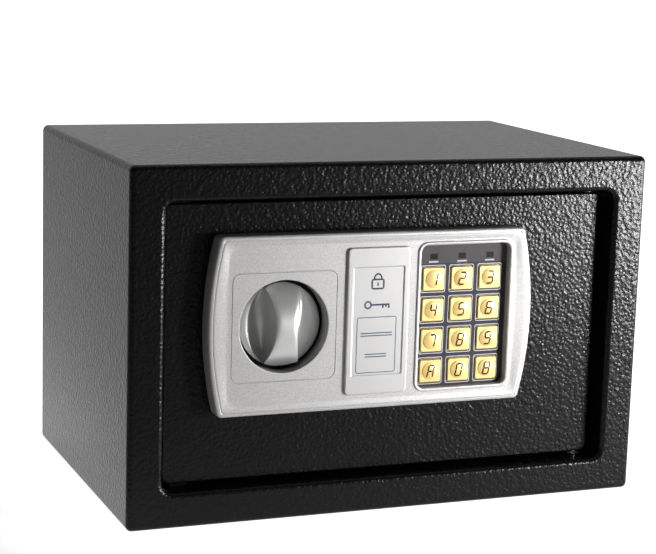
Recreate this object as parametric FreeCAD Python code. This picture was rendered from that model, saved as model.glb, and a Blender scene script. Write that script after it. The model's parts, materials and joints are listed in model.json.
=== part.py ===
import FreeCAD, Part
import os
from math import sqrt

# A small electronic home safe: a steel box with a flush door, a knob that throws two bolts,
# a keypad, an emergency lock under a cover, and the boltwork and electronics inside the door.
#
# Millimetres, +Z up. The origin is the centre of the underside. The front faces -Y.
# "Depth" is the distance behind the front plane of the body.

Vector = FreeCAD.Vector
X_AXIS = Vector(1, 0, 0)
Y_AXIS = Vector(0, 1, 0)
Z_AXIS = Vector(0, 0, 1)
HALF_TURN = 180
PARALLEL = 0.999
SAME_DEPTH = 0.001

# Body
BODY_W = 310.0
BODY_H = 200.0
BODY_D = 200.0
FRONT_Y = -BODY_D / 2
MID_Z = BODY_H / 2
WRAP_T = 1.5
WRAP_BEND_R = 3.5
FRAME_T = 2.0
FRAME_BORDER = 20.0
FRAME_EDGE_R = 3.0
FRAME_FLANGE_DEPTH = 12.0
COLLAR_DEPTH = 24.0
OPENING_CORNER_R = 6.0
ANCHOR_R = 5.0
ANCHOR_SPACING = 200.0
MAT_T = 2.0
MAT_GAP = 2.5
MAT_HOLE_R = 9.0

# Door leaf
DOOR_RECESS = 11.0
DOOR_T = 3.0
DOOR_BACK = DOOR_RECESS + DOOR_T
DOOR_GAP = 2.5
HINGE_SIDE_GAP = 4.0
DOOR_CORNER_R = 4.0
DOOR_EDGE_R = 0.8
STOP_T = 1.5
STOP_GAP = 0.3
STOP_REACH = 8.5
STOP_W = 10.0
STOP_INSET = 8.0

# Hinge: a vertical pin behind the leaf's right edge, top and bottom
HINGE_X = 126.0
HINGE_DEPTH = 17.0
PIN_R = 2.5
PIN_CLEARANCE = 0.05
PIN_PROUD = 2.0
LUG_W = 9.0
LUG_DEPTH = 7.0
LUG_H = 16.0
BUSH_R = 4.0
BUSH_FLANGE_R = 5.5
BUSH_FLANGE_T = 0.8

# Fascia: the moulded housing on the front of the door
FASCIA_X = -13.3
FASCIA_Z = 110.5
FASCIA_W = 183.5
FASCIA_H = 100.0
FASCIA_BULGE = 5.6
FASCIA_WALL = 2.5
FASCIA_EDGE_R = 1.5
FASCIA_CORNER_R = 2.0
BOSS_R = 4.0
BOSS_X = 88.0
BOSS_Z = 44.5
SCREW_R = 1.6
SCREW_HEAD_R = 3.5
SCREW_HEAD_T = 2.2

# Knob
KNOB_X = -67.0
KNOB_Z = 109.7
KNOB_R = 23.5
KNOB_POCKET_R = 26.0
KNOB_RIM_DEPTH = 8.0
KNOB_BACK_DEPTH = 10.5
GRIP_PROUD = 5.0
GRIP_HALF_W = 6.0
SCOOP_R = 58.0
SCOOP_FLOOR_DEPTH = 9.2
KNOB_LIP = 1.8
KNOB_PLATE_SIZE = 61.5
KNOB_PLATE_R = 5.0
KNOB_GROOVE_W = 1.0
KNOB_GROOVE_DEPTH = 0.6

# Spindle and crank behind the knob
SPINDLE_R = 5.0
SPINDLE_CLEARANCE = 0.05
SPINDLE_END = 23.5
SPINDLE_BUSH_R = 7.0
SPINDLE_FLANGE_R = 10.0
SPINDLE_FLANGE_T = 2.0
CRANK_DEPTH = 19.0
CRANK_T = 3.0
CRANK_R = 15.0
CRANK_PIN_R = 2.5
CRANK_PIN_END = 29.0
CLIP_T = 1.0
CLIP_R = 8.0
CLIP_GROOVE_R = 4.2
CLIP_PIN_GAP = 1.0

# Boltwork
BOLT_TRAVEL = 15.0
CRANK_THROW = BOLT_TRAVEL / sqrt(2)
BOLT_R = 8.0
BOLT_DEPTH = 36.0
BOLT_SPREAD = 40.0
BOLT_TIP_X = -131.5
BOLT_LENGTH = 37.0
BOLT_CHAMFER = 1.0
BOLT_CLEARANCE = 0.15
BRACKET_T = 1.5
GUIDE_X = -123.0
GUIDE_T = 2.5
GUIDE_END = 47.0
BRACKET_RIGHT_X = -48.0
BRACKET_HALF_H = 58.0
CARRIER_DEPTH = 25.0
CARRIER_T = 2.5
CARRIER_RIGHT_X = -50.0
CARRIER_HALF_H = 52.0
CARRIER_FLANGE_END = 46.0
SLOT_CLEARANCE = 0.45
STUD_X = -75.0
STUD_SPREAD = 32.0
STUD_R = 3.0
STUD_HEAD_R = 6.0
STUD_HEAD_T = 1.5
STUD_CLEARANCE = 0.3
TAIL_RIGHT_X = -20.0
TAIL_Z = 108.0
TAIL_TOP_Z = 120.0
LATCH_TOP_Z = 124.5
LATCH_W = 5.0
LATCH_RAMP = 2.5
BOLT_SCREW_R = 2.5
BOLT_SCREW_HEAD_R = 4.5
BOLT_SCREW_HEAD_T = 3.0
BOLT_SCREW_LENGTH = 12.0

# Solenoid that blocks the bolt carrier
PLUNGER_X = -32.0
PLUNGER_DEPTH = CARRIER_DEPTH + CARRIER_T / 2
PLUNGER_R = 3.5
PLUNGER_TIP_Z = 128.0
PLUNGER_LENGTH = 32.0
LATCH_GAP = (BOLT_TRAVEL - LATCH_W - 2 * PLUNGER_R) / 2
COLLAR_Z = 131.0
COLLAR_R = 6.0
COLLAR_T = 1.5
SPRING_LENGTH = 5.0
SPRING_R = 5.0
SPRING_WIRE_R = 0.4
SPRING_TURNS = 4
SOLENOID_Z = COLLAR_Z + COLLAR_T + SPRING_LENGTH
SOLENOID_H = 28.0
SOLENOID_W = 26.0
SOLENOID_T = 2.0
COIL_R = 9.5
COIL_BORE_R = 3.6

# Emergency lock under the keyhole cover
LOCK_X = -12.2
LOCK_Z = 110.5
BARREL_FRONT = 5.0
BARREL_END = 21.0
BARREL_R = 9.5
ROTOR_R = 6.0
ROTOR_CLEARANCE = 0.05
KEYWAY_R = 3.0
KEYWAY_W = 1.0
KEYWAY_DEPTH = 9.0
NUT_R = 13.0
NUT_T = 3.0
NUT_FLAT_MARGIN = 1.0
CAM_DEPTH = 22.4
CAM_T = 2.0
CAM_REACH = 21.4
CAM_TIP_R = 2.8
CAM_HUB_R = 7.0
CAM_ANGLE = 37.0

# Keyhole cover
COVER_W = 37.4
COVER_H = 83.4
COVER_PROUD = 1.2
COVER_CORNER_R = 2.5
COVER_EDGE_R = 0.8
COVER_RECESS_W = 30.9
COVER_RECESS_H = 61.8
COVER_RECESS_DEPTH = 0.5
PLUG_MARGIN = 1.6
PLUG_CLEARANCE = 0.2
PLUG_DEPTH = 3.5
PLUG_WALL = 1.5

# Keypad
KEYPAD_X = 40.75
KEYPAD_Z = 111.0
KEYPAD_W = 56.5
KEYPAD_H = 82.0
KEYPAD_CORNER_R = 4.0
SHEET_DEPTH = 4.5
SHEET_T = 0.8
KEY_W = 13.2
KEY_H = 13.1
KEY_CORNER_R = 1.0
KEY_PITCH_X = 17.5
KEY_PITCH_Z = 17.7
KEY_TOP_Z = 132.0
KEY_FRONT = 3.4
KEY_DOME_R = 5.0
KEY_DOME_H = 0.9
KEY_CLEARANCE = 0.35
KEY_LIP = 1.0
KEY_LIP_T = 0.8
KEY_ROWS = (("1", "2", "3"), ("4", "5", "6"), ("7", "8", "9"), ("a", "0", "b"))
LIGHT_W = 4.7
LIGHT_H = 3.3
LIGHT_Z = 144.8
DOME_MAT_DEPTH = 8.6
DOME_MAT_T = 0.6
DOME_TOP_DEPTH = 7.5
DOME_R = 4.0
BOARD_DEPTH = 9.2
BOARD_T = 1.6

# Inner cover and what it holds
INNER_LEFT_X = -129.0
INNER_RIGHT_X = 118.0
INNER_BOTTOM_Z = 30.0
INNER_TOP_Z = 170.0
INNER_BACK = 56.0
INNER_T = 1.2
INNER_BOLT_HOLE_R = 8.8
POST_R = 4.0
POST_X = (-112.0, 0.0, 108.0)
POST_INSET_Z = 7.0
COVER_SCREW_R = 2.0
COVER_SCREW_HEAD_R = 4.0
COVER_SCREW_LENGTH = 10.0
CONTROL_X = (22.0, 104.0)
CONTROL_Z = (72.0, 148.0)
CONTROL_DEPTH = 19.0
CONTROL_T = 1.6
CHIP_SIZE = 14.0
CHIP_T = 2.0
CAPACITOR_R = 4.0
CAPACITOR_H = 11.0
CAPACITOR_OFFSET = 28.0
STANDOFF_R = 3.0
STANDOFF_INSET = 5.0
CABLE_W = 16.0
CABLE_T = 1.0
CABLE_X = 41.0
CABLE_Z = 81.0
CABLE_SLOT_H = 8.0
GROMMET_WALL = 2.0
GROMMET_LIP = 1.0

# Battery box: four AA cells side by side, reached from inside the safe
CELL_R = 7.1
CELL_LENGTH = 49.0
CELL_NUB_R = 2.6
CELL_NUB_H = 1.0
CELL_COUNT = 4
CELL_PITCH = 15.2
BATTERY_X = 63.0
BATTERY_Z = 110.0
BATTERY_WALL = 1.5
BATTERY_W = CELL_COUNT * CELL_PITCH + 2 * BATTERY_WALL
BATTERY_CONTACT_ROOM = 2.5
BATTERY_H = CELL_LENGTH + CELL_NUB_H + 2 * BATTERY_CONTACT_ROOM + 2 * BATTERY_WALL
BATTERY_FRONT = 38.5
CONTACT_T = 0.5
CONTACT_SIZE = 9.0
LID_T = 1.8
LID_MARGIN = 3.0
LID_PLUG = 2.0
LID_CLEARANCE = 0.25
LID_RIB_COUNT = 4
LID_RIB_W = 18.0
LID_RIB_H = 1.2
LID_RIB_PITCH = 3.0

# Reset button on the inner cover
RESET_X = 108.0
RESET_Z = 60.0
RESET_R = 3.8
RESET_CLEARANCE = 0.3
RESET_PROUD = 1.8
RESET_LIP_R = 5.2
RESET_LIP_T = 1.4
RESET_LIP_GAP = 0.1
RESET_TRAVEL = 1.5
SWITCH_SIZE = 11.0
SWITCH_GAP = 0.4


def at(x, depth, z):
    """A point given by its depth behind the front plane."""
    return Vector(x, FRONT_Y + depth, z)


def box(x0, x1, d0, d1, z0, z1):
    return Part.makeBox(x1 - x0, d1 - d0, z1 - z0, at(x0, d0, z0))


def centred_box(x, z, w, h, d0, d1):
    return box(x - w / 2, x + w / 2, d0, d1, z - h / 2, z + h / 2)


def disc(x, z, r, d0, d1):
    """A cylinder along the depth."""
    return Part.makeCylinder(r, d1 - d0, at(x, d0, z), Y_AXIS)


def ring(x, z, outer_r, inner_r, d0, d1):
    return disc(x, z, outer_r, d0, d1).cut(disc(x, z, inner_r, d0, d1))


def rod_x(x0, x1, depth, z, r):
    return Part.makeCylinder(r, x1 - x0, at(x0, depth, z), X_AXIS)


def rod_z(x, depth, z0, z1, r):
    return Part.makeCylinder(r, z1 - z0, at(x, depth, z0), Z_AXIS)


def edges_along(shape, direction):
    """The straight edges of a shape that run along one direction."""
    found = []
    for edge in shape.Edges:
        if edge.Curve.TypeId != "Part::GeomLine":
            continue
        if abs(edge.tangentAt(edge.FirstParameter).dot(direction)) > PARALLEL:
            found.append(edge)
    return found


def edges_at_depth(shape, depth):
    """The edges of a shape that lie wholly at one depth."""
    y = FRONT_Y + depth
    found = []
    for edge in shape.Edges:
        bounds = edge.BoundBox
        if max(abs(bounds.YMin - y), abs(bounds.YMax - y)) < SAME_DEPTH:
            found.append(edge)
    return found


def rounded(x, z, w, h, r, d0, d1):
    """A centred box with its four edges along the depth rounded."""
    shape = centred_box(x, z, w, h, d0, d1)
    return shape.makeFillet(r, edges_along(shape, Y_AXIS))


def group(solids):
    return Part.makeCompound(solids)


def union(first, others):
    return first.multiFuse(others).removeSplitter()


def save(nodes):
    os.makedirs("parts", exist_ok=True)
    for name, shape in nodes.items():
        shape.exportStep(os.path.join("parts", name + ".step"))


def body_nodes():
    """The steel box: wrap, back, front frame with its collar, mat, bushes and stops."""
    inner_w = BODY_W - 2 * WRAP_T
    inner_h = BODY_H - 2 * WRAP_T
    wrap = rounded(0, MID_Z, BODY_W, BODY_H, WRAP_BEND_R, FRAME_FLANGE_DEPTH, BODY_D)
    wrap_hole = rounded(0, MID_Z, inner_w, inner_h, WRAP_BEND_R - WRAP_T, FRAME_FLANGE_DEPTH, BODY_D)
    wrap = wrap.cut(wrap_hole)
    back = rounded(0, MID_Z, inner_w, inner_h, WRAP_BEND_R - WRAP_T, BODY_D - WRAP_T, BODY_D)

    mat_front = COLLAR_DEPTH + MAT_GAP
    mat_back = BODY_D - WRAP_T - MAT_GAP
    mat_half_w = BODY_W / 2 - WRAP_T - MAT_GAP
    mat = box(-mat_half_w, mat_half_w, mat_front, mat_back, WRAP_T, WRAP_T + MAT_T)
    for x in (-ANCHOR_SPACING / 2, ANCHOR_SPACING / 2):
        wrap = wrap.cut(rod_z(x, BODY_D / 2, 0, WRAP_T, ANCHOR_R))
        back = back.cut(disc(x, MID_Z, ANCHOR_R, BODY_D - WRAP_T, BODY_D))
        mat = mat.cut(rod_z(x, BODY_D / 2, WRAP_T, WRAP_T + MAT_T, MAT_HOLE_R))

    opening_w = BODY_W - 2 * FRAME_BORDER
    opening_h = BODY_H - 2 * FRAME_BORDER
    pan = rounded(0, MID_Z, BODY_W, BODY_H, WRAP_BEND_R, 0, FRAME_FLANGE_DEPTH)
    pan = pan.makeFillet(FRAME_EDGE_R, edges_at_depth(pan, 0))
    pan_w = BODY_W - 2 * FRAME_T
    pan_h = BODY_H - 2 * FRAME_T
    pan = pan.cut(rounded(0, MID_Z, pan_w, pan_h, WRAP_BEND_R - FRAME_T, FRAME_T, FRAME_FLANGE_DEPTH))
    collar_w = opening_w + 2 * FRAME_T
    collar_h = opening_h + 2 * FRAME_T
    collar = rounded(0, MID_Z, collar_w, collar_h, OPENING_CORNER_R + FRAME_T, FRAME_T, COLLAR_DEPTH)
    frame = union(pan, [collar])
    frame = frame.cut(rounded(0, MID_Z, opening_w, opening_h, OPENING_CORNER_R, 0, COLLAR_DEPTH))
    rim = []
    for edge in edges_at_depth(frame, 0):
        centre = edge.BoundBox.Center
        if abs(centre.x) < collar_w / 2 and abs(centre.z - MID_Z) < collar_h / 2:
            rim.append(edge)
    frame = frame.makeFillet(FRAME_EDGE_R, rim)

    wall_bottom = FRAME_BORDER
    wall_top = BODY_H - FRAME_BORDER
    bushes = []
    for wall_z, outward in ((wall_top, 1), (wall_bottom, -1)):
        low = min(wall_z, wall_z + outward * FRAME_T)
        frame = frame.cut(rod_z(HINGE_X, HINGE_DEPTH, low - FRAME_T, low + 2 * FRAME_T, BUSH_R))
        flange_z = wall_z + outward * FRAME_T
        flange_low = min(flange_z, flange_z + outward * BUSH_FLANGE_T)
        bush = rod_z(HINGE_X, HINGE_DEPTH, low, low + FRAME_T, BUSH_R)
        flange = rod_z(HINGE_X, HINGE_DEPTH, flange_low, flange_low + BUSH_FLANGE_T, BUSH_FLANGE_R)
        bore_low = min(low, flange_low)
        bore_length = FRAME_T + BUSH_FLANGE_T
        bore = rod_z(HINGE_X, HINGE_DEPTH, bore_low, bore_low + bore_length, PIN_R + PIN_CLEARANCE)
        bushes.append(union(bush, [flange]).cut(bore))

    stop_x = -opening_w / 2 + STOP_INSET
    stop_depth = DOOR_BACK + STOP_GAP
    stops = []
    for low in (wall_top - STOP_REACH, wall_bottom):
        stops.append(box(stop_x, stop_x + STOP_W, stop_depth, stop_depth + STOP_T, low, low + STOP_REACH))
    return {
        "body_wrap": wrap,
        "rear_plate": back,
        "front_frame": frame,
        "floor_mat": mat,
        "hinge_bushes": group(bushes),
        "door_stops": group(stops),
    }


def boss_places():
    return [(FASCIA_X + sx * BOSS_X, FASCIA_Z + sz * BOSS_Z) for sx in (-1, 1) for sz in (-1, 1)]


def stud_places():
    return [(STUD_X, KNOB_Z + side * STUD_SPREAD) for side in (-1, 1)]


def bolt_heights():
    return [MID_Z - BOLT_SPREAD, MID_Z + BOLT_SPREAD]


def leaf_nodes():
    """The door plate with its hinge lugs and pins."""
    left = -BODY_W / 2 + FRAME_BORDER + DOOR_GAP
    right = BODY_W / 2 - FRAME_BORDER - HINGE_SIDE_GAP
    bottom = FRAME_BORDER + DOOR_GAP
    top = BODY_H - FRAME_BORDER - DOOR_GAP
    middle_x = (left + right) / 2
    plate = rounded(middle_x, MID_Z, right - left, top - bottom, DOOR_CORNER_R, DOOR_RECESS, DOOR_BACK)
    plate = plate.makeFillet(DOOR_EDGE_R, edges_at_depth(plate, DOOR_RECESS))
    holes = [
        disc(KNOB_X, KNOB_Z, SPINDLE_BUSH_R, DOOR_RECESS, DOOR_BACK),
        disc(LOCK_X, LOCK_Z, BARREL_R, DOOR_RECESS, DOOR_BACK),
        grommet_outline(0, DOOR_RECESS, DOOR_BACK),
    ]
    for x, z in boss_places():
        holes.append(disc(x, z, SCREW_R, DOOR_RECESS, DOOR_BACK))
    plate = plate.cut(group(holes))

    lugs = []
    pins = []
    lug_left = HINGE_X - LUG_W / 2
    for end_z, outward in ((top, 1), (bottom, -1)):
        low = min(end_z, end_z - outward * LUG_H)
        lug = box(lug_left, lug_left + LUG_W, DOOR_BACK, DOOR_BACK + LUG_DEPTH, low, low + LUG_H)
        lugs.append(lug.cut(rod_z(HINGE_X, HINGE_DEPTH, low, low + LUG_H, PIN_R)))
        pin_length = LUG_H + DOOR_GAP + FRAME_T + PIN_PROUD
        pin_low = low if outward > 0 else low + LUG_H - pin_length
        pins.append(rod_z(HINGE_X, HINGE_DEPTH, pin_low, pin_low + pin_length, PIN_R))
    return {"door_plate": plate, "hinge_lugs": group(lugs), "hinge_pins": group(pins)}


def fascia_outline(inset, d0, d1):
    """The fascia's outline: straight top and bottom, and short sides that bulge in an arc."""
    half_w = FASCIA_W / 2 - inset
    half_h = FASCIA_H / 2 - inset
    left = FASCIA_X - half_w
    right = FASCIA_X + half_w
    low = FASCIA_Z - half_h
    high = FASCIA_Z + half_h
    edges = [
        Part.makeLine(at(left, d0, low), at(right, d0, low)),
        Part.Arc(at(right, d0, low), at(right + FASCIA_BULGE, d0, FASCIA_Z), at(right, d0, high)).toShape(),
        Part.makeLine(at(right, d0, high), at(left, d0, high)),
        Part.Arc(at(left, d0, high), at(left - FASCIA_BULGE, d0, FASCIA_Z), at(left, d0, low)).toShape(),
    ]
    return Part.Face(Part.Wire(edges)).extrude(Y_AXIS * (d1 - d0))


def fascia_nodes():
    """The hollow moulded housing, its screws and the keyhole cover."""
    shell = fascia_outline(0, 0, DOOR_RECESS)
    shell = shell.makeFillet(FASCIA_CORNER_R, edges_along(shell, Y_AXIS))
    shell = shell.makeFillet(FASCIA_EDGE_R, edges_at_depth(shell, 0))
    shell = shell.cut(fascia_outline(FASCIA_WALL, FASCIA_WALL, DOOR_RECESS))

    knob_wall = disc(KNOB_X, KNOB_Z, KNOB_POCKET_R + FASCIA_WALL, FASCIA_WALL, DOOR_RECESS)
    keypad_wall = rounded(KEYPAD_X, KEYPAD_Z, KEYPAD_W + 2 * FASCIA_WALL, KEYPAD_H + 2 * FASCIA_WALL,
                          KEYPAD_CORNER_R + FASCIA_WALL, FASCIA_WALL, SHEET_DEPTH)
    bosses = [disc(x, z, BOSS_R, FASCIA_WALL, DOOR_RECESS) for x, z in boss_places()]
    shell = union(shell, [knob_wall, keypad_wall] + bosses)

    cuts = [
        disc(KNOB_X, KNOB_Z, KNOB_POCKET_R, 0, DOOR_RECESS),
        rounded(KEYPAD_X, KEYPAD_Z, KEYPAD_W, KEYPAD_H, KEYPAD_CORNER_R, 0, SHEET_DEPTH),
        centred_box(LOCK_X, LOCK_Z, COVER_W - 2 * PLUG_MARGIN, COVER_H - 2 * PLUG_MARGIN, 0, FASCIA_WALL),
    ]
    groove = rounded(KNOB_X, KNOB_Z, KNOB_PLATE_SIZE, KNOB_PLATE_SIZE, KNOB_PLATE_R, 0, KNOB_GROOVE_DEPTH)
    inside_size = KNOB_PLATE_SIZE - 2 * KNOB_GROOVE_W
    inside = rounded(KNOB_X, KNOB_Z, inside_size, inside_size, KNOB_PLATE_R - KNOB_GROOVE_W,
                     0, KNOB_GROOVE_DEPTH)
    cuts.append(groove.cut(inside))
    screws = []
    for x, z in boss_places():
        screw = disc(x, z, SCREW_R, SHEET_DEPTH, DOOR_BACK)
        cuts.append(disc(x, z, SCREW_R, SHEET_DEPTH, DOOR_RECESS))
        head = disc(x, z, SCREW_HEAD_R, DOOR_BACK, DOOR_BACK + SCREW_HEAD_T)
        screws.append(union(screw, [head]))
    shell = shell.cut(group(cuts))

    cover = rounded(LOCK_X, LOCK_Z, COVER_W, COVER_H, COVER_CORNER_R, -COVER_PROUD, 0)
    cover = cover.makeFillet(COVER_EDGE_R, edges_at_depth(cover, -COVER_PROUD))
    recess = rounded(LOCK_X, LOCK_Z, COVER_RECESS_W, COVER_RECESS_H, COVER_CORNER_R,
                     -COVER_PROUD, COVER_RECESS_DEPTH - COVER_PROUD)
    plug_w = COVER_W - 2 * PLUG_MARGIN - 2 * PLUG_CLEARANCE
    plug_h = COVER_H - 2 * PLUG_MARGIN - 2 * PLUG_CLEARANCE
    plug = centred_box(LOCK_X, LOCK_Z, plug_w, plug_h, 0, PLUG_DEPTH)
    plug_inside_w = plug_w - 2 * PLUG_WALL
    plug_inside_h = plug_h - 2 * PLUG_WALL
    plug = plug.cut(centred_box(LOCK_X, LOCK_Z, plug_inside_w, plug_inside_h, 0, PLUG_DEPTH))
    cover = union(cover.cut(recess), [plug])
    return {"panel_housing": shell, "panel_screws": group(screws), "keyhole_cover": cover}


def key_places():
    """Each key's name and centre, row by row from the top left."""
    places = []
    for row, names in enumerate(KEY_ROWS):
        for column, name in enumerate(names):
            x = KEYPAD_X + (column - 1) * KEY_PITCH_X
            places.append((name, x, KEY_TOP_Z - row * KEY_PITCH_Z))
    return places


def keypad_nodes():
    """The sheet, twelve keys, indicator lights, rubber dome mat and circuit board."""
    nodes = {}
    sheet_w = KEYPAD_W + FASCIA_WALL
    sheet_h = KEYPAD_H + FASCIA_WALL
    sheet = centred_box(KEYPAD_X, KEYPAD_Z, sheet_w, sheet_h, SHEET_DEPTH, SHEET_DEPTH + SHEET_T)
    holes = []
    domes = []
    lip_front = SHEET_DEPTH + SHEET_T
    for name, x, z in key_places():
        cap = rounded(x, z, KEY_W, KEY_H, KEY_CORNER_R, KEY_FRONT, lip_front)
        lip = centred_box(x, z, KEY_W + 2 * KEY_LIP, KEY_H + 2 * KEY_LIP, lip_front, lip_front + KEY_LIP_T)
        dome = Part.makeSphere(sphere_radius(KEY_DOME_R, KEY_DOME_H))
        dome.translate(at(x, KEY_FRONT - KEY_DOME_H + sphere_radius(KEY_DOME_R, KEY_DOME_H), z))
        dome = dome.common(disc(x, z, KEY_DOME_R, KEY_FRONT - KEY_DOME_H, KEY_FRONT + SHEET_T))
        nodes["key_" + name] = union(cap, [lip, dome])
        hole_w = KEY_W + 2 * KEY_CLEARANCE
        hole_h = KEY_H + 2 * KEY_CLEARANCE
        holes.append(centred_box(x, z, hole_w, hole_h, SHEET_DEPTH, lip_front))
        domes.append(Part.makeCone(DOME_R / 2, DOME_R, DOME_MAT_DEPTH - DOME_TOP_DEPTH,
                                   at(x, DOME_TOP_DEPTH, z), Y_AXIS))
    lights = []
    for column in (-1, 0, 1):
        x = KEYPAD_X + column * KEY_PITCH_X
        lights.append(centred_box(x, LIGHT_Z, LIGHT_W, LIGHT_H, SHEET_DEPTH, DOME_MAT_DEPTH))
    sheet = sheet.cut(group(holes + lights))
    mat = centred_box(KEYPAD_X, KEYPAD_Z, sheet_w, sheet_h, DOME_MAT_DEPTH, DOME_MAT_DEPTH + DOME_MAT_T)
    nodes["keypad_sheet"] = sheet
    nodes["status_lights"] = group(lights)
    nodes["dome_mat"] = union(mat, domes)
    nodes["keypad_board"] = centred_box(KEYPAD_X, KEYPAD_Z, sheet_w, sheet_h,
                                        BOARD_DEPTH, BOARD_DEPTH + BOARD_T)
    return nodes


def sphere_radius(half_chord, height):
    """The radius of the sphere whose cap has this half width and height."""
    return (half_chord ** 2 + height ** 2) / (2 * height)


def knob_nodes():
    """The turning knob with its arched grip, and the spindle, crank and clip behind the door."""
    rim = disc(KNOB_X, KNOB_Z, KNOB_R, KNOB_RIM_DEPTH, KNOB_BACK_DEPTH)
    well = disc(KNOB_X, KNOB_Z, KNOB_R - KNOB_LIP, KNOB_RIM_DEPTH, SCOOP_FLOOR_DEPTH)
    arch_height = KNOB_RIM_DEPTH + GRIP_PROUD
    arch_r = sphere_radius(KNOB_R, arch_height)
    arch_span = 2 * KNOB_R
    arch = Part.makeCylinder(arch_r, arch_span, at(KNOB_X - KNOB_R, arch_r - GRIP_PROUD, KNOB_Z), X_AXIS)
    arch = arch.common(disc(KNOB_X, KNOB_Z, KNOB_R, -GRIP_PROUD, SCOOP_FLOOR_DEPTH))
    for side in (-1, 1):
        scoop_x = KNOB_X + side * (GRIP_HALF_W + SCOOP_R)
        arch = arch.cut(disc(scoop_x, KNOB_Z, SCOOP_R, -GRIP_PROUD, SCOOP_FLOOR_DEPTH))
    knob = union(rim.cut(well), [arch])

    spindle = disc(KNOB_X, KNOB_Z, SPINDLE_R, KNOB_BACK_DEPTH, SPINDLE_END)
    clip_front = CRANK_DEPTH + CRANK_T
    spindle = spindle.cut(ring(KNOB_X, KNOB_Z, SPINDLE_R, CLIP_GROOVE_R, clip_front, clip_front + CLIP_T))
    clip = ring(KNOB_X, KNOB_Z, CLIP_R, CLIP_GROOVE_R, clip_front, clip_front + CLIP_T)
    pin_offset = BOLT_TRAVEL / 2
    crank = ring(KNOB_X, KNOB_Z, CRANK_R, SPINDLE_R, CRANK_DEPTH, CRANK_DEPTH + CRANK_T)
    pin = disc(KNOB_X + pin_offset, KNOB_Z + pin_offset, CRANK_PIN_R, CRANK_DEPTH + CRANK_T, CRANK_PIN_END)
    clip = clip.cut(disc(KNOB_X + pin_offset, KNOB_Z + pin_offset, CRANK_PIN_R + CLIP_PIN_GAP,
                         clip_front, clip_front + CLIP_T))
    return {
        "knob": knob,
        "knob_spindle": spindle,
        "knob_crank": union(crank, [pin]),
        "spindle_clip": clip,
    }


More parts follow.
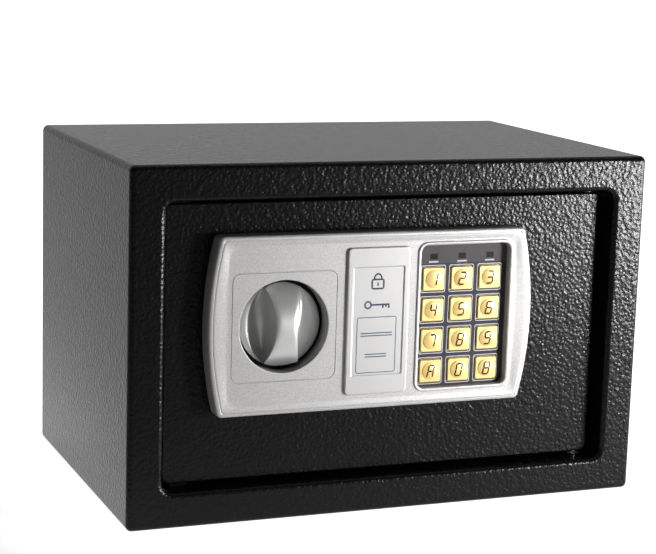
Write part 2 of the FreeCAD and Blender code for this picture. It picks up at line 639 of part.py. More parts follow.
def boltwork_nodes():
    """The bracket, bush and studs on the door, and the carrier with its two bolts."""
    bracket_low = MID_Z - BRACKET_HALF_H
    bracket_high = MID_Z + BRACKET_HALF_H
    bracket_end = DOOR_BACK + BRACKET_T
    base = box(GUIDE_X, BRACKET_RIGHT_X, DOOR_BACK, bracket_end, bracket_low, bracket_high)
    guide = box(GUIDE_X, GUIDE_X + GUIDE_T, DOOR_BACK, GUIDE_END, bracket_low, bracket_high)
    bracket = union(base, [guide])
    guide_holes = [rod_x(GUIDE_X, GUIDE_X + GUIDE_T, BOLT_DEPTH, z, BOLT_R + BOLT_CLEARANCE)
                   for z in bolt_heights()]
    head_holes = [disc(x, z, SCREW_HEAD_R + BRACKET_T, DOOR_BACK, bracket_end) for x, z in boss_places()]
    spindle_hole = disc(KNOB_X, KNOB_Z, SPINDLE_BUSH_R, DOOR_BACK, bracket_end)
    bracket = bracket.cut(group(guide_holes + head_holes + [spindle_hole]))

    bush = disc(KNOB_X, KNOB_Z, SPINDLE_BUSH_R, DOOR_RECESS, bracket_end)
    bush_flange = disc(KNOB_X, KNOB_Z, SPINDLE_FLANGE_R, bracket_end, bracket_end + SPINDLE_FLANGE_T)
    bush_bore = disc(KNOB_X, KNOB_Z, SPINDLE_R + SPINDLE_CLEARANCE, DOOR_RECESS,
                     bracket_end + SPINDLE_FLANGE_T)
    bush = union(bush, [bush_flange]).cut(bush_bore)

    carrier_end = CARRIER_DEPTH + CARRIER_T
    head_front = carrier_end + STUD_CLEARANCE
    flange_x = BOLT_TIP_X + BOLT_LENGTH
    carrier_low = MID_Z - CARRIER_HALF_H
    carrier_high = MID_Z + CARRIER_HALF_H
    plate = box(flange_x, CARRIER_RIGHT_X, CARRIER_DEPTH, carrier_end, carrier_low, carrier_high)
    flange = box(flange_x, flange_x + CARRIER_T, CARRIER_DEPTH, CARRIER_FLANGE_END,
                 carrier_low, carrier_high)
    tail = box(CARRIER_RIGHT_X, TAIL_RIGHT_X, CARRIER_DEPTH, carrier_end, TAIL_Z, TAIL_TOP_Z)
    carrier = union(plate, [flange, tail, latch_tab(carrier_end)])

    slots = []
    studs = []
    slot_r = STUD_R + STUD_CLEARANCE
    for x, z in stud_places():
        slot = centred_box(x + BOLT_TRAVEL / 2, z, BOLT_TRAVEL, 2 * slot_r, CARRIER_DEPTH, carrier_end)
        ends = [disc(x + shift, z, slot_r, CARRIER_DEPTH, carrier_end) for shift in (0, BOLT_TRAVEL)]
        slots.append(union(slot, ends))
        stud = disc(x, z, STUD_R, bracket_end, head_front)
        head = disc(x, z, STUD_HEAD_R, head_front, head_front + STUD_HEAD_T)
        studs.append(union(stud, [head]))
    pin_low = KNOB_Z + BOLT_TRAVEL / 2 - CRANK_PIN_R - SLOT_CLEARANCE
    pin_high = KNOB_Z + CRANK_THROW + CRANK_PIN_R + SLOT_CLEARANCE
    pin_x = KNOB_X + BOLT_TRAVEL / 2
    pin_half_w = CRANK_PIN_R + SLOT_CLEARANCE
    slots.append(box(pin_x - pin_half_w, pin_x + pin_half_w, CARRIER_DEPTH, carrier_end, pin_low, pin_high))

    bolts = []
    screws = []
    screw_holes = []
    screw_end = flange_x + CARRIER_T
    for z in bolt_heights():
        bolt = rod_x(BOLT_TIP_X, flange_x, BOLT_DEPTH, z, BOLT_R)
        tip = [e for e in bolt.Edges if e.BoundBox.XMax < BOLT_TIP_X + BOLT_CHAMFER]
        bolt = bolt.makeChamfer(BOLT_CHAMFER, tip)
        screw_start = screw_end - BOLT_SCREW_LENGTH
        bolts.append(bolt.cut(rod_x(screw_start, flange_x, BOLT_DEPTH, z, BOLT_SCREW_R)))
        screw = rod_x(screw_start, screw_end, BOLT_DEPTH, z, BOLT_SCREW_R)
        head = rod_x(screw_end, screw_end + BOLT_SCREW_HEAD_T, BOLT_DEPTH, z, BOLT_SCREW_HEAD_R)
        screws.append(union(screw, [head]))
        screw_holes.append(rod_x(flange_x, screw_end, BOLT_DEPTH, z, BOLT_SCREW_R))
    carrier = carrier.cut(group(slots + screw_holes))
    return {
        "lock_bracket": bracket,
        "spindle_bush": bush,
        "guide_studs": group(studs),
        "bolt_carrier": carrier,
        "lower_bolt": bolts[0],
        "upper_bolt": bolts[1],
        "bolt_screws": group(screws),
    }


def latch_tab(carrier_end):
    """The tab that the plunger drops behind, ramped on the side that it lifts the plunger with."""
    left = PLUNGER_X + PLUNGER_R + LATCH_GAP
    right = left + LATCH_W
    corners = [
        at(left, CARRIER_DEPTH, TAIL_TOP_Z),
        at(left + LATCH_RAMP, CARRIER_DEPTH, LATCH_TOP_Z),
        at(right, CARRIER_DEPTH, LATCH_TOP_Z),
        at(right, CARRIER_DEPTH, TAIL_TOP_Z),
    ]
    outline = Part.makePolygon(corners + corners[:1])
    return Part.Face(outline).extrude(Y_AXIS * (carrier_end - CARRIER_DEPTH))


def solenoid_nodes():
    """The solenoid: open steel frame, coil, plunger and return spring."""
    top = SOLENOID_Z + SOLENOID_H
    half_w = SOLENOID_W / 2
    left = PLUNGER_X - half_w
    right = PLUNGER_X + half_w
    front = DOOR_BACK
    back = PLUNGER_DEPTH + COIL_R
    frame = box(left, right, front, back, SOLENOID_Z, top)
    frame = frame.cut(box(left, right, front + SOLENOID_T, back, SOLENOID_Z + SOLENOID_T, top - SOLENOID_T))
    frame = frame.cut(rod_z(PLUNGER_X, PLUNGER_DEPTH, SOLENOID_Z, SOLENOID_Z + SOLENOID_T, COIL_BORE_R))
    coil = rod_z(PLUNGER_X, PLUNGER_DEPTH, SOLENOID_Z + SOLENOID_T, top - SOLENOID_T, COIL_R)
    coil = coil.cut(rod_z(PLUNGER_X, PLUNGER_DEPTH, SOLENOID_Z + SOLENOID_T, top - SOLENOID_T, COIL_BORE_R))
    plunger = rod_z(PLUNGER_X, PLUNGER_DEPTH, PLUNGER_TIP_Z, PLUNGER_TIP_Z + PLUNGER_LENGTH, PLUNGER_R)
    collar = rod_z(PLUNGER_X, PLUNGER_DEPTH, COLLAR_Z, COLLAR_Z + COLLAR_T, COLLAR_R)
    return {
        "solenoid_frame": frame,
        "solenoid_coil": coil,
        "solenoid_plunger": union(plunger, [collar]),
        "solenoid_spring": plunger_spring(),
    }


def plunger_spring():
    height = SPRING_LENGTH - 2 * SPRING_WIRE_R
    coil = Part.makeHelix(height / SPRING_TURNS, height, SPRING_R - SPRING_WIRE_R)
    start = Vector(SPRING_R - SPRING_WIRE_R, 0, 0)
    section = Part.Wire(Part.makeCircle(SPRING_WIRE_R, start, Y_AXIS))
    spring = Part.Wire(coil.Edges).makePipeShell([section], True, True)
    spring.translate(at(PLUNGER_X, PLUNGER_DEPTH, COLLAR_Z + COLLAR_T + SPRING_WIRE_R))
    return spring


def lock_nodes():
    """The emergency cylinder lock: barrel, nut, rotor and the cam that lifts the plunger."""
    barrel = disc(LOCK_X, LOCK_Z, BARREL_R, BARREL_FRONT, BARREL_END)
    barrel = barrel.cut(disc(LOCK_X, LOCK_Z, ROTOR_R + ROTOR_CLEARANCE, BARREL_FRONT, BARREL_END))
    rotor = disc(LOCK_X, LOCK_Z, ROTOR_R, BARREL_FRONT, CAM_DEPTH)
    keyway_end = BARREL_FRONT + KEYWAY_DEPTH
    rotor = rotor.cut(ring(LOCK_X, LOCK_Z, KEYWAY_R + KEYWAY_W, KEYWAY_R, BARREL_FRONT, keyway_end))
    nut = ring(LOCK_X, LOCK_Z, NUT_R, BARREL_R, DOOR_BACK, DOOR_BACK + NUT_T)
    flat = box(LOCK_X - NUT_R, LOCK_X + NUT_R, DOOR_BACK, DOOR_BACK + NUT_T,
               LOCK_Z - BARREL_R - NUT_FLAT_MARGIN, LOCK_Z + BARREL_R + NUT_FLAT_MARGIN)
    nut = nut.common(flat)

    cam_end = CAM_DEPTH + CAM_T
    hub = disc(LOCK_X, LOCK_Z, CAM_HUB_R, CAM_DEPTH, cam_end)
    arm = box(LOCK_X, LOCK_X + CAM_REACH, CAM_DEPTH, cam_end, LOCK_Z - CAM_TIP_R, LOCK_Z + CAM_TIP_R)
    tip = disc(LOCK_X + CAM_REACH, LOCK_Z, CAM_TIP_R, CAM_DEPTH, cam_end)
    cam = union(hub, [arm, tip])
    cam.rotate(at(LOCK_X, CAM_DEPTH, LOCK_Z), Y_AXIS, -CAM_ANGLE)
    return {"lock_barrel": barrel, "lock_nut": nut, "lock_rotor": rotor, "lock_cam": cam}


def grommet_outline(inset, d0, d1):
    width = CABLE_W + 2 * GROMMET_WALL - 2 * inset
    height = CABLE_SLOT_H + 2 * GROMMET_WALL - 2 * inset
    radius = GROMMET_WALL + GROMMET_LIP - inset
    return rounded(CABLE_X, CABLE_Z, width, height, radius, d0, d1)


def post_places():
    heights = (INNER_BOTTOM_Z + POST_INSET_Z, INNER_TOP_Z - POST_INSET_Z)
    return [(x, z) for x in POST_X for z in heights]


def inner_cover_nodes():
    """The steel cover on the back of the door, its posts and its screws."""
    cover = box(INNER_LEFT_X, INNER_RIGHT_X, DOOR_BACK, INNER_BACK, INNER_BOTTOM_Z, INNER_TOP_Z)
    inside_back = INNER_BACK - INNER_T
    hollow = box(INNER_LEFT_X + INNER_T, INNER_RIGHT_X - INNER_T, DOOR_BACK, inside_back,
                 INNER_BOTTOM_Z + INNER_T, INNER_TOP_Z - INNER_T)
    cuts = [hollow]
    for z in bolt_heights():
        cuts.append(rod_x(INNER_LEFT_X, INNER_LEFT_X + INNER_T, BOLT_DEPTH, z, INNER_BOLT_HOLE_R))
    cuts.append(centred_box(BATTERY_X, BATTERY_Z, BATTERY_W, BATTERY_H, inside_back, INNER_BACK))
    cuts.append(disc(RESET_X, RESET_Z, RESET_R + RESET_CLEARANCE, inside_back, INNER_BACK))
    posts = []
    screws = []
    for x, z in post_places():
        screw_start = INNER_BACK - COVER_SCREW_LENGTH
        cuts.append(disc(x, z, COVER_SCREW_R, inside_back, INNER_BACK))
        post = disc(x, z, POST_R, DOOR_BACK, inside_back)
        posts.append(post.cut(disc(x, z, COVER_SCREW_R, screw_start, inside_back)))
        screw = disc(x, z, COVER_SCREW_R, screw_start, INNER_BACK)
        head = disc(x, z, COVER_SCREW_HEAD_R, INNER_BACK, INNER_BACK + SCREW_HEAD_T)
        screws.append(union(screw, [head]))
    for cut in cuts:
        cover = cover.cut(cut)
    return {"inner_cover": cover, "cover_posts": group(posts), "cover_screws": group(screws)}


def electronics_nodes():
    """The control board on its standoffs, the ribbon cable, its grommet and the reset switch."""
    x0, x1 = CONTROL_X
    z0, z1 = CONTROL_Z
    board_end = CONTROL_DEPTH + CONTROL_T
    middle_x = (x0 + x1) / 2
    middle_z = (z0 + z1) / 2
    board = box(x0, x1, CONTROL_DEPTH, board_end, z0, z1)
    chip = centred_box(middle_x, middle_z, CHIP_SIZE, CHIP_SIZE, board_end, board_end + CHIP_T)
    capacitors = [disc(middle_x + side * CAPACITOR_OFFSET, middle_z, CAPACITOR_R,
                       board_end, board_end + CAPACITOR_H) for side in (-1, 1)]
    board = union(board, [chip] + capacitors)
    standoffs = []
    for x in (x0 + STANDOFF_INSET, x1 - STANDOFF_INSET):
        for z in (z0 + STANDOFF_INSET, z1 - STANDOFF_INSET):
            standoffs.append(disc(x, z, STANDOFF_R, DOOR_BACK, CONTROL_DEPTH))

    grommet = grommet_outline(0, DOOR_RECESS, DOOR_BACK + GROMMET_LIP)
    grommet = union(grommet, [grommet_outline(-GROMMET_LIP, DOOR_BACK, DOOR_BACK + GROMMET_LIP)])
    grommet = grommet.cut(grommet_outline(GROMMET_WALL, DOOR_RECESS, DOOR_BACK + GROMMET_LIP))
    cable = centred_box(CABLE_X, CABLE_Z, CABLE_W - CABLE_T, CABLE_T, BOARD_DEPTH + BOARD_T, CONTROL_DEPTH)

    half = SWITCH_SIZE / 2
    switch_back = INNER_BACK - INNER_T - RESET_LIP_GAP - RESET_LIP_T - RESET_TRAVEL - SWITCH_GAP
    switch = box(RESET_X - half, INNER_RIGHT_X - INNER_T, DOOR_BACK, switch_back,
                 RESET_Z - half, RESET_Z + half)
    lip_back = INNER_BACK - INNER_T - RESET_LIP_GAP
    button = disc(RESET_X, RESET_Z, RESET_R, lip_back - RESET_LIP_T, INNER_BACK + RESET_PROUD)
    lip = disc(RESET_X, RESET_Z, RESET_LIP_R, lip_back - RESET_LIP_T, lip_back)
    return {
        "control_board": board,
        "board_standoffs": group(standoffs),
        "cable_grommet": grommet,
        "ribbon_cable": cable,
        "reset_switch": switch,
        "reset_button": union(button, [lip]),
    }


def battery_nodes():
    """The battery box with its contacts, four cells and the lid that pulls off."""
    tray = centred_box(BATTERY_X, BATTERY_Z, BATTERY_W, BATTERY_H, BATTERY_FRONT, INNER_BACK)
    inside_w = BATTERY_W - 2 * BATTERY_WALL
    inside_h = BATTERY_H - 2 * BATTERY_WALL
    inside_front = BATTERY_FRONT + BATTERY_WALL
    tray = tray.cut(centred_box(BATTERY_X, BATTERY_Z, inside_w, inside_h, inside_front, INNER_BACK))

    cell_depth = inside_front + CELL_R
    cell_low = BATTERY_Z - (CELL_LENGTH + CELL_NUB_H) / 2
    first_x = BATTERY_X - CELL_PITCH * (CELL_COUNT - 1) / 2
    cells = []
    contacts = []
    for index in range(CELL_COUNT):
        x = first_x + index * CELL_PITCH
        cell = rod_z(x, cell_depth, cell_low, cell_low + CELL_LENGTH, CELL_R)
        nub = rod_z(x, cell_depth, cell_low + CELL_LENGTH, cell_low + CELL_LENGTH + CELL_NUB_H, CELL_NUB_R)
        cell = union(cell, [nub])
        if index % 2:
            cell.rotate(at(x, cell_depth, BATTERY_Z), Y_AXIS, HALF_TURN)
        cells.append(cell)
        for end_z in (BATTERY_Z - inside_h / 2, BATTERY_Z + inside_h / 2 - CONTACT_T):
            contacts.append(box(x - CONTACT_SIZE / 2, x + CONTACT_SIZE / 2, cell_depth - CONTACT_SIZE / 2,
                                cell_depth + CONTACT_SIZE / 2, end_z, end_z + CONTACT_T))

    lid_w = BATTERY_W + 2 * LID_MARGIN
    lid_h = BATTERY_H + 2 * LID_MARGIN
    lid = rounded(BATTERY_X, BATTERY_Z, lid_w, lid_h, LID_MARGIN, INNER_BACK, INNER_BACK + LID_T)
    plug = centred_box(BATTERY_X, BATTERY_Z, inside_w - 2 * LID_CLEARANCE, inside_h - 2 * LID_CLEARANCE,
                       INNER_BACK - LID_PLUG, INNER_BACK)
    hollow = centred_box(BATTERY_X, BATTERY_Z, inside_w - 2 * BATTERY_WALL, inside_h - 2 * BATTERY_WALL,
                         INNER_BACK - LID_PLUG, INNER_BACK)
    ribs = []
    for index in range(LID_RIB_COUNT):
        z = BATTERY_Z + lid_h / 2 - LID_MARGIN - (index + 1) * LID_RIB_PITCH
        ribs.append(centred_box(BATTERY_X, z, LID_RIB_W, LID_RIB_H, INNER_BACK + LID_T,
                                INNER_BACK + LID_T + LID_RIB_H))
    lid = union(lid, [plug.cut(hollow)] + ribs)
    return {
        "battery_box": tray,
        "battery_contacts": group(contacts),
        "batteries": group(cells),
        "battery_lid": lid,
    }


ALL_NODES = {}
for make in (body_nodes, leaf_nodes, fascia_nodes, keypad_nodes, knob_nodes, boltwork_nodes, solenoid_nodes,
             lock_nodes, inner_cover_nodes, electronics_nodes, battery_nodes):
    ALL_NODES.update(make())
save(ALL_NODES)
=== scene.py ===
"""The looks of a small electronic home safe, built round its CAD frame. Metres, +Z up, front towards -Y."""
import json
import math

import bmesh
import bpy
from mathutils import Matrix, Vector
from mathutils.geometry import delaunay_2d_cdt


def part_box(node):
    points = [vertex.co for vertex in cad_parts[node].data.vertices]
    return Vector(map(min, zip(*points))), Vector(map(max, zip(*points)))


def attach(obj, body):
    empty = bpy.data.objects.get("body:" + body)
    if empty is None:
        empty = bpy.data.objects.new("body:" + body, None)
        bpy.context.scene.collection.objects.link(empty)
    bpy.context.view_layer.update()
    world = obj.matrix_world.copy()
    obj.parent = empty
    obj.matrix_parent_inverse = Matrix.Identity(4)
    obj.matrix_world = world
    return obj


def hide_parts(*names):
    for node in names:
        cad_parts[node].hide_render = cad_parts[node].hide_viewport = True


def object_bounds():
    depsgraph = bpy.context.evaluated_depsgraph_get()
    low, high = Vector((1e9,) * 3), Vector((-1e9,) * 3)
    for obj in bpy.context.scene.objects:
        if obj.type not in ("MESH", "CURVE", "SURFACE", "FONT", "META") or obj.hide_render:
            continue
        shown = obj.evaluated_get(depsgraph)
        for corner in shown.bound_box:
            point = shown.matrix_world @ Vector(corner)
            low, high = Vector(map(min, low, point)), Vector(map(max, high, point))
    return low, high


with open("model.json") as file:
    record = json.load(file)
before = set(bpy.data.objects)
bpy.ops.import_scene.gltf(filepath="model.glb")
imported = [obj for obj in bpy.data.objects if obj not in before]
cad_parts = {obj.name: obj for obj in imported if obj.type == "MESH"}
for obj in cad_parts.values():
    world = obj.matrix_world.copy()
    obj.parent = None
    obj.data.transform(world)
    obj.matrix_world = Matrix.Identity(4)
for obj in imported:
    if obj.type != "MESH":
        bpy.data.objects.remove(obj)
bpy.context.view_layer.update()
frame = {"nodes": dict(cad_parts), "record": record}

MM = 0.001
nodes = frame["nodes"]
FRONT_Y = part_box("front_frame")[0].y


# ---------------------------------------------------------------- camera, floor and light

CAMERA_AT = Vector((-0.4212, -1.048, 0.3248))
CAMERA_AZIMUTH = math.radians(21.78)
CAMERA_ELEVATION = math.radians(10.45)
CAMERA_ROLL = math.radians(1.74)
CAMERA_LENS = 103.8
SENSOR = 36.0
CLIP_NEAR = 0.05
CLIP_FAR = 100


def make_camera():
    """A long lens from the left of the front, looking slightly down."""
    data = bpy.data.cameras.new("camera")
    data.sensor_width = SENSOR
    data.lens = CAMERA_LENS
    data.clip_start = CLIP_NEAR
    data.clip_end = CLIP_FAR
    forward = Vector((math.sin(CAMERA_AZIMUTH) * math.cos(CAMERA_ELEVATION),
                      math.cos(CAMERA_AZIMUTH) * math.cos(CAMERA_ELEVATION),
                      -math.sin(CAMERA_ELEVATION)))
    right = Vector((math.cos(CAMERA_AZIMUTH), -math.sin(CAMERA_AZIMUTH), 0))
    up = right.cross(forward)
    rolled_right = right * math.cos(CAMERA_ROLL) + up * math.sin(CAMERA_ROLL)
    rolled_up = up * math.cos(CAMERA_ROLL) - right * math.sin(CAMERA_ROLL)
    turn = Matrix((rolled_right, rolled_up, -forward)).transposed()
    camera = bpy.data.objects.new("camera", data)
    camera.matrix_world = Matrix.Translation(CAMERA_AT) @ turn.to_4x4()
    bpy.context.scene.collection.objects.link(camera)
    bpy.context.scene.camera = camera


def area_light(name, place, target, size, power, spread=180):
    """A soft rectangular light aimed at a point."""
    data = bpy.data.lights.new(name, "AREA")
    data.shape = "RECTANGLE"
    data.size, data.size_y = size
    data.energy = power
    data.spread = math.radians(spread)
    light = bpy.data.objects.new(name, data)
    light.location = place
    light.rotation_euler = (Vector(target) - Vector(place)).to_track_quat("-Z", "Y").to_euler()
    light.visible_camera = False
    bpy.context.scene.collection.objects.link(light)
    return light


def make_lights():
    """A low softbox at the front right for the glints, a weak fill, a strip for sheen and an overhead."""
    area_light("front_right_softbox", place=(0.62, -0.70, 0.11), target=(0.10, -0.1, 0.12),
               size=(0.19, 0.13), power=2.6, spread=80)
    area_light("front_fill", place=(-0.9, -1.9, 1.3), target=(0, -0.1, 0.1), size=(0.9, 0.9), power=0.6)
    strip = area_light("right_strip", place=(0.95, -0.5, 0.09), target=(0, -0.1, 0.1),
                       size=(0.3, 0.15), power=9)
    strip.visible_diffuse = False
    area_light("overhead", place=(0, 0.4, 2.2), target=(0, 0.1, 0), size=(2.5, 2.0), power=12)


WORLD_FRONT = 0.05
WORLD_BACK = 0.8
WORLD_TURN = 0.6


def make_world():
    """A plain pale surround, darker on the camera's side."""
    world = bpy.data.worlds.new("surround")
    world.use_nodes = True
    tree = world.node_tree
    tree.nodes.clear()
    where = tree.nodes.new("ShaderNodeTexCoord")
    split = tree.nodes.new("ShaderNodeSeparateXYZ")
    ramp = tree.nodes.new("ShaderNodeMapRange")
    ramp.inputs["From Min"].default_value = -WORLD_TURN
    ramp.inputs["From Max"].default_value = WORLD_TURN
    ramp.inputs["To Min"].default_value = WORLD_FRONT
    ramp.inputs["To Max"].default_value = WORLD_BACK
    background = tree.nodes.new("ShaderNodeBackground")
    out = tree.nodes.new("ShaderNodeOutputWorld")
    tree.links.new(where.outputs["Generated"], split.inputs[0])
    tree.links.new(split.outputs["Y"], ramp.inputs["Value"])
    tree.links.new(ramp.outputs["Result"], background.inputs["Strength"])
    tree.links.new(background.outputs[0], out.inputs[0])
    bpy.context.scene.world = world
    bpy.context.scene.view_settings.view_transform = "Standard"


FLOOR_RADIUS = 14.0
FLOOR_SIDES = 96


def make_floor():
    """A pale round floor, glowing like a light table behind the safe and plain in front of it."""
    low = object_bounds()[0].z
    mesh = bpy.data.meshes.new("floor")
    ring = [(FLOOR_RADIUS * math.cos(a), FLOOR_RADIUS * math.sin(a), low)
            for a in (2 * math.pi * i / FLOOR_SIDES for i in range(FLOOR_SIDES))]
    mesh.from_pydata(ring, [], [range(FLOOR_SIDES)])
    floor = bpy.data.objects.new("floor", mesh)
    bpy.context.scene.collection.objects.link(floor)
    floor.data.materials.append(floor_material())


# ---------------------------------------------------------------- materials


class Shader:
    """A material being built: a Principled shader and short calls for the nodes that feed it."""

    def __init__(self, name, colour, roughness, metallic=0.0, specular=0.5):
        self.material = bpy.data.materials.new(name)
        self.material.use_nodes = True
        self.tree = self.material.node_tree
        self.shader = self.tree.nodes["Principled BSDF"]
        self.set("Base Color", (*colour, 1))
        self.set("Roughness", roughness)
        self.set("Metallic", metallic)
        self.set("Specular IOR Level", specular)
        self.place = self.tree.nodes.new("ShaderNodeTexCoord").outputs["Object"]
        self.normal = None

    def set(self, name, value):
        self.shader.inputs[name].default_value = value

    def link(self, source, target):
        self.tree.links.new(source, target)

    def node(self, kind, **inputs):
        made = self.tree.nodes.new(kind)
        for name, value in inputs.items():
            socket = made.inputs[name.replace("_", " ")]
            if isinstance(value, bpy.types.NodeSocket):
                self.link(value, socket)
            else:
                socket.default_value = value
        return made

    def noise(self, per_metre, detail=3.0, roughness=0.55, stretch=(1, 1, 1)):
        mapping = self.node("ShaderNodeMapping", Vector=self.place, Scale=stretch)
        return self.node("ShaderNodeTexNoise", Vector=mapping.outputs[0], Scale=per_metre, Detail=detail,
                         Roughness=roughness).outputs[0]

    def cells(self, per_metre, smooth=0.7):
        made = self.node("ShaderNodeTexVoronoi", Vector=self.place, Scale=per_metre)
        made.feature = "SMOOTH_F1"
        made.inputs["Smoothness"].default_value = smooth
        return made.outputs["Distance"]

    def ramp(self, value, low, high, from_low=0.0, from_high=1.0):
        made = self.node("ShaderNodeMapRange", Value=value)
        made.inputs["From Min"].default_value = from_low
        made.inputs["From Max"].default_value = from_high
        made.inputs["To Min"].default_value = low
        made.inputs["To Max"].default_value = high
        return made.outputs[0]

    def mix(self, factor, first, second):
        """Two colours mixed by a value."""
        made = self.tree.nodes.new("ShaderNodeMix")
        made.data_type = "RGBA"
        self.link(factor, made.inputs[0])
        for socket, value in ((made.inputs[6], first), (made.inputs[7], second)):
            if isinstance(value, bpy.types.NodeSocket):
                self.link(value, socket)
            else:
                socket.default_value = (*value, 1)
        return made.outputs[2]

    def add(self, first, second, weight=1.0):
        made = self.node("ShaderNodeMath")
        made.operation = "MULTIPLY_ADD"
        self.link(second, made.inputs[0])
        made.inputs[1].default_value = weight
        self.link(first, made.inputs[2])
        return made.outputs[0]

    def times(self, first, second):
        made = self.node("ShaderNodeMath")
        made.operation = "MULTIPLY"
        self.link(first, made.inputs[0])
        self.link(second, made.inputs[1])
        return made.outputs[0]

    def bump(self, height, depth, strength=1.0):
        """Adds relief of about that depth in metres. Calls stack."""
        made = self.node("ShaderNodeBump", Height=height, Distance=depth, Strength=strength)
        if self.normal is not None:
            self.link(self.normal, made.inputs["Normal"])
        self.normal = made.outputs[0]
        self.link(self.normal, self.shader.inputs["Normal"])

    def feed(self, name, value):
        self.link(value, self.shader.inputs[name])


FLOOR_GLOW = 1.0
GLOW_START = -0.30
GLOW_FULL = -0.10
GLOW_LEFT = 0.3
GLOW_LEFT_DIM = -0.25
GLOW_LEFT_FULL = -0.175


def floor_material():
    """Matt white, with a glow that fades out in front of the safe and weakens to the left of it."""
    s = Shader("floor_white", (0.86, 0.86, 0.86), 0.6, specular=0.2)
    s.feed("Base Color", s.mix(s.noise(1.5), (0.80, 0.80, 0.80), (0.83, 0.83, 0.83)))
    place = s.node("ShaderNodeSeparateXYZ", Vector=s.place)
    behind = s.ramp(place.outputs["Y"], 0.0, FLOOR_GLOW, GLOW_START, GLOW_FULL)
    beside = s.ramp(place.outputs["X"], GLOW_LEFT, 1.0, GLOW_LEFT_DIM, GLOW_LEFT_FULL)
    s.set("Emission Color", (1, 1, 1, 1))
    s.feed("Emission Strength", s.times(behind, beside))
    return s.material


DIMPLES_PER_METRE = 480
LUMPS_PER_METRE = 760
LUMP_SHARE = 0.6
DIMPLE_DEPTH = 0.00023
PAINT_IOR = 1.22


def black_paint():
    """Glossy black hammered powder coat: dimples about 2 mm apart with finer lumps between them."""
    s = Shader("black_paint", (0.008, 0.008, 0.0085), 0.25)
    s.set("IOR", PAINT_IOR)
    cells = s.cells(DIMPLES_PER_METRE)
    lumps = s.noise(LUMPS_PER_METRE, detail=1.5)
    s.bump(s.add(cells, lumps, LUMP_SHARE), DIMPLE_DEPTH)
    s.feed("Roughness", s.ramp(s.noise(260), 0.21, 0.29))
    s.feed("Base Color", s.mix(s.noise(60), (0.0015, 0.0015, 0.0016), (0.0028, 0.0028, 0.0028)))
    return s.material


def silver_paint(name, shade, grain=0.00003, metallic=0.35, roughness=0.42, fleck=0.22):
    """Metallic silver paint over moulded plastic, with a fine flake."""
    s = Shader(name, shade, roughness, metallic=metallic)
    flake = s.noise(1500, detail=4.0, roughness=0.8)
    dark = tuple(c * (1 - fleck) for c in shade)
    light = tuple(min(1.0, c * (1 + fleck)) for c in shade)
    s.feed("Base Color", s.mix(flake, dark, light))
    s.feed("Roughness", s.ramp(s.noise(300), roughness * 0.88, roughness * 1.12))
    s.bump(s.noise(4200, detail=1.0), grain, 0.5)
    return s.material


def bright_metal(name, shade, roughness, stretch=(1, 1, 1), grain=0.000015, per_metre=900):
    """Plated or machined metal with a fine directional grain."""
    s = Shader(name, shade, roughness, metallic=1.0)
    lines = s.noise(per_metre, detail=4.0, stretch=stretch)
    stain = s.noise(45, detail=4.0)
    dark = tuple(c * 0.86 for c in shade)
    s.feed("Base Color", s.mix(stain, dark, shade))
    s.feed("Roughness", s.ramp(lines, roughness * 0.75, roughness * 1.3))
    s.bump(lines, grain, 0.5)
    return s.material


def key_gold():
    """Gold paint over moulded plastic, slightly uneven."""
    s = Shader("key_gold", (0.58, 0.41, 0.13), 0.4, metallic=0.3)
    s.feed("Base Color", s.mix(s.noise(260), (0.47, 0.33, 0.11), (0.56, 0.41, 0.15)))
    s.feed("Roughness", s.ramp(s.noise(700), 0.34, 0.46))
    s.bump(s.noise(3500), 0.00002, 0.4)
    return s.material


def plastic(name, shade, roughness, grain_per_metre=2600, grain=0.00004, spread=0.12, specular=0.5):
    """Moulded plastic, rubber or film: an eggshell grain and slight mottling."""
    s = Shader(name, shade, roughness, specular=specular)
    dark = tuple(c * (1 - spread) for c in shade)
    light = tuple(min(1.0, c * (1 + spread)) for c in shade)
    s.feed("Base Color", s.mix(s.noise(90), dark, light))
    s.feed("Roughness", s.ramp(s.noise(400), roughness * 0.85, min(1.0, roughness * 1.15)))
    s.bump(s.noise(grain_per_metre), grain, 0.5)
    return s.material


def felt():
    """Needle felt: short matted fibres in mixed greys."""
    s = Shader("felt_grey", (0.05, 0.05, 0.055), 0.95, specular=0.1)
    fibres = s.noise(1400, detail=6.0, roughness=0.8)
    tufts = s.noise(220, detail=3.0)
    s.feed("Base Color", s.mix(fibres, (0.02, 0.02, 0.023), (0.11, 0.11, 0.12)))
    s.set("Sheen Weight", 0.4)
    s.set("Sheen Roughness", 0.5)
    s.bump(s.add(fibres, tufts, 0.5), 0.0004, 0.8)
    return s.material


def circuit_board():
    """Green solder mask over copper tracks."""
    s = Shader("board_green", (0.02, 0.16, 0.06), 0.35)
    tracks = s.node("ShaderNodeTexBrick", Vector=s.place, Scale=60.0)
    s.feed("Base Color", s.mix(tracks.outputs["Fac"], (0.015, 0.14, 0.05), (0.03, 0.24, 0.09)))
    s.bump(tracks.outputs["Fac"], 0.00003, 0.5)
    return s.material


BAND_HEIGHT = 0.118
BAND_EDGE = 0.0001


def battery_sleeve():
    """A dark printed sleeve with a copper band at the top."""
    s = Shader("battery_skin", (0.06, 0.07, 0.1), 0.3)
    height = s.node("ShaderNodeSeparateXYZ", Vector=s.place).outputs["Z"]
    band = s.ramp(height, 0, 1, BAND_HEIGHT, BAND_HEIGHT + BAND_EDGE)
    s.feed("Base Color", s.mix(band, (0.03, 0.035, 0.05), (0.7, 0.42, 0.15)))
    s.bump(s.noise(1500), 0.00002, 0.3)
    return s.material


def ink_material(name, shade, roughness=0.5):
    """Screen-printed ink, slightly uneven."""
    s = Shader(name, shade, roughness, specular=0.05)
    dark = tuple(c * 0.85 for c in shade)
    s.feed("Base Color", s.mix(s.noise(900), dark, shade))
    s.bump(s.noise(4000), 0.00001, 0.4)
    return s.material


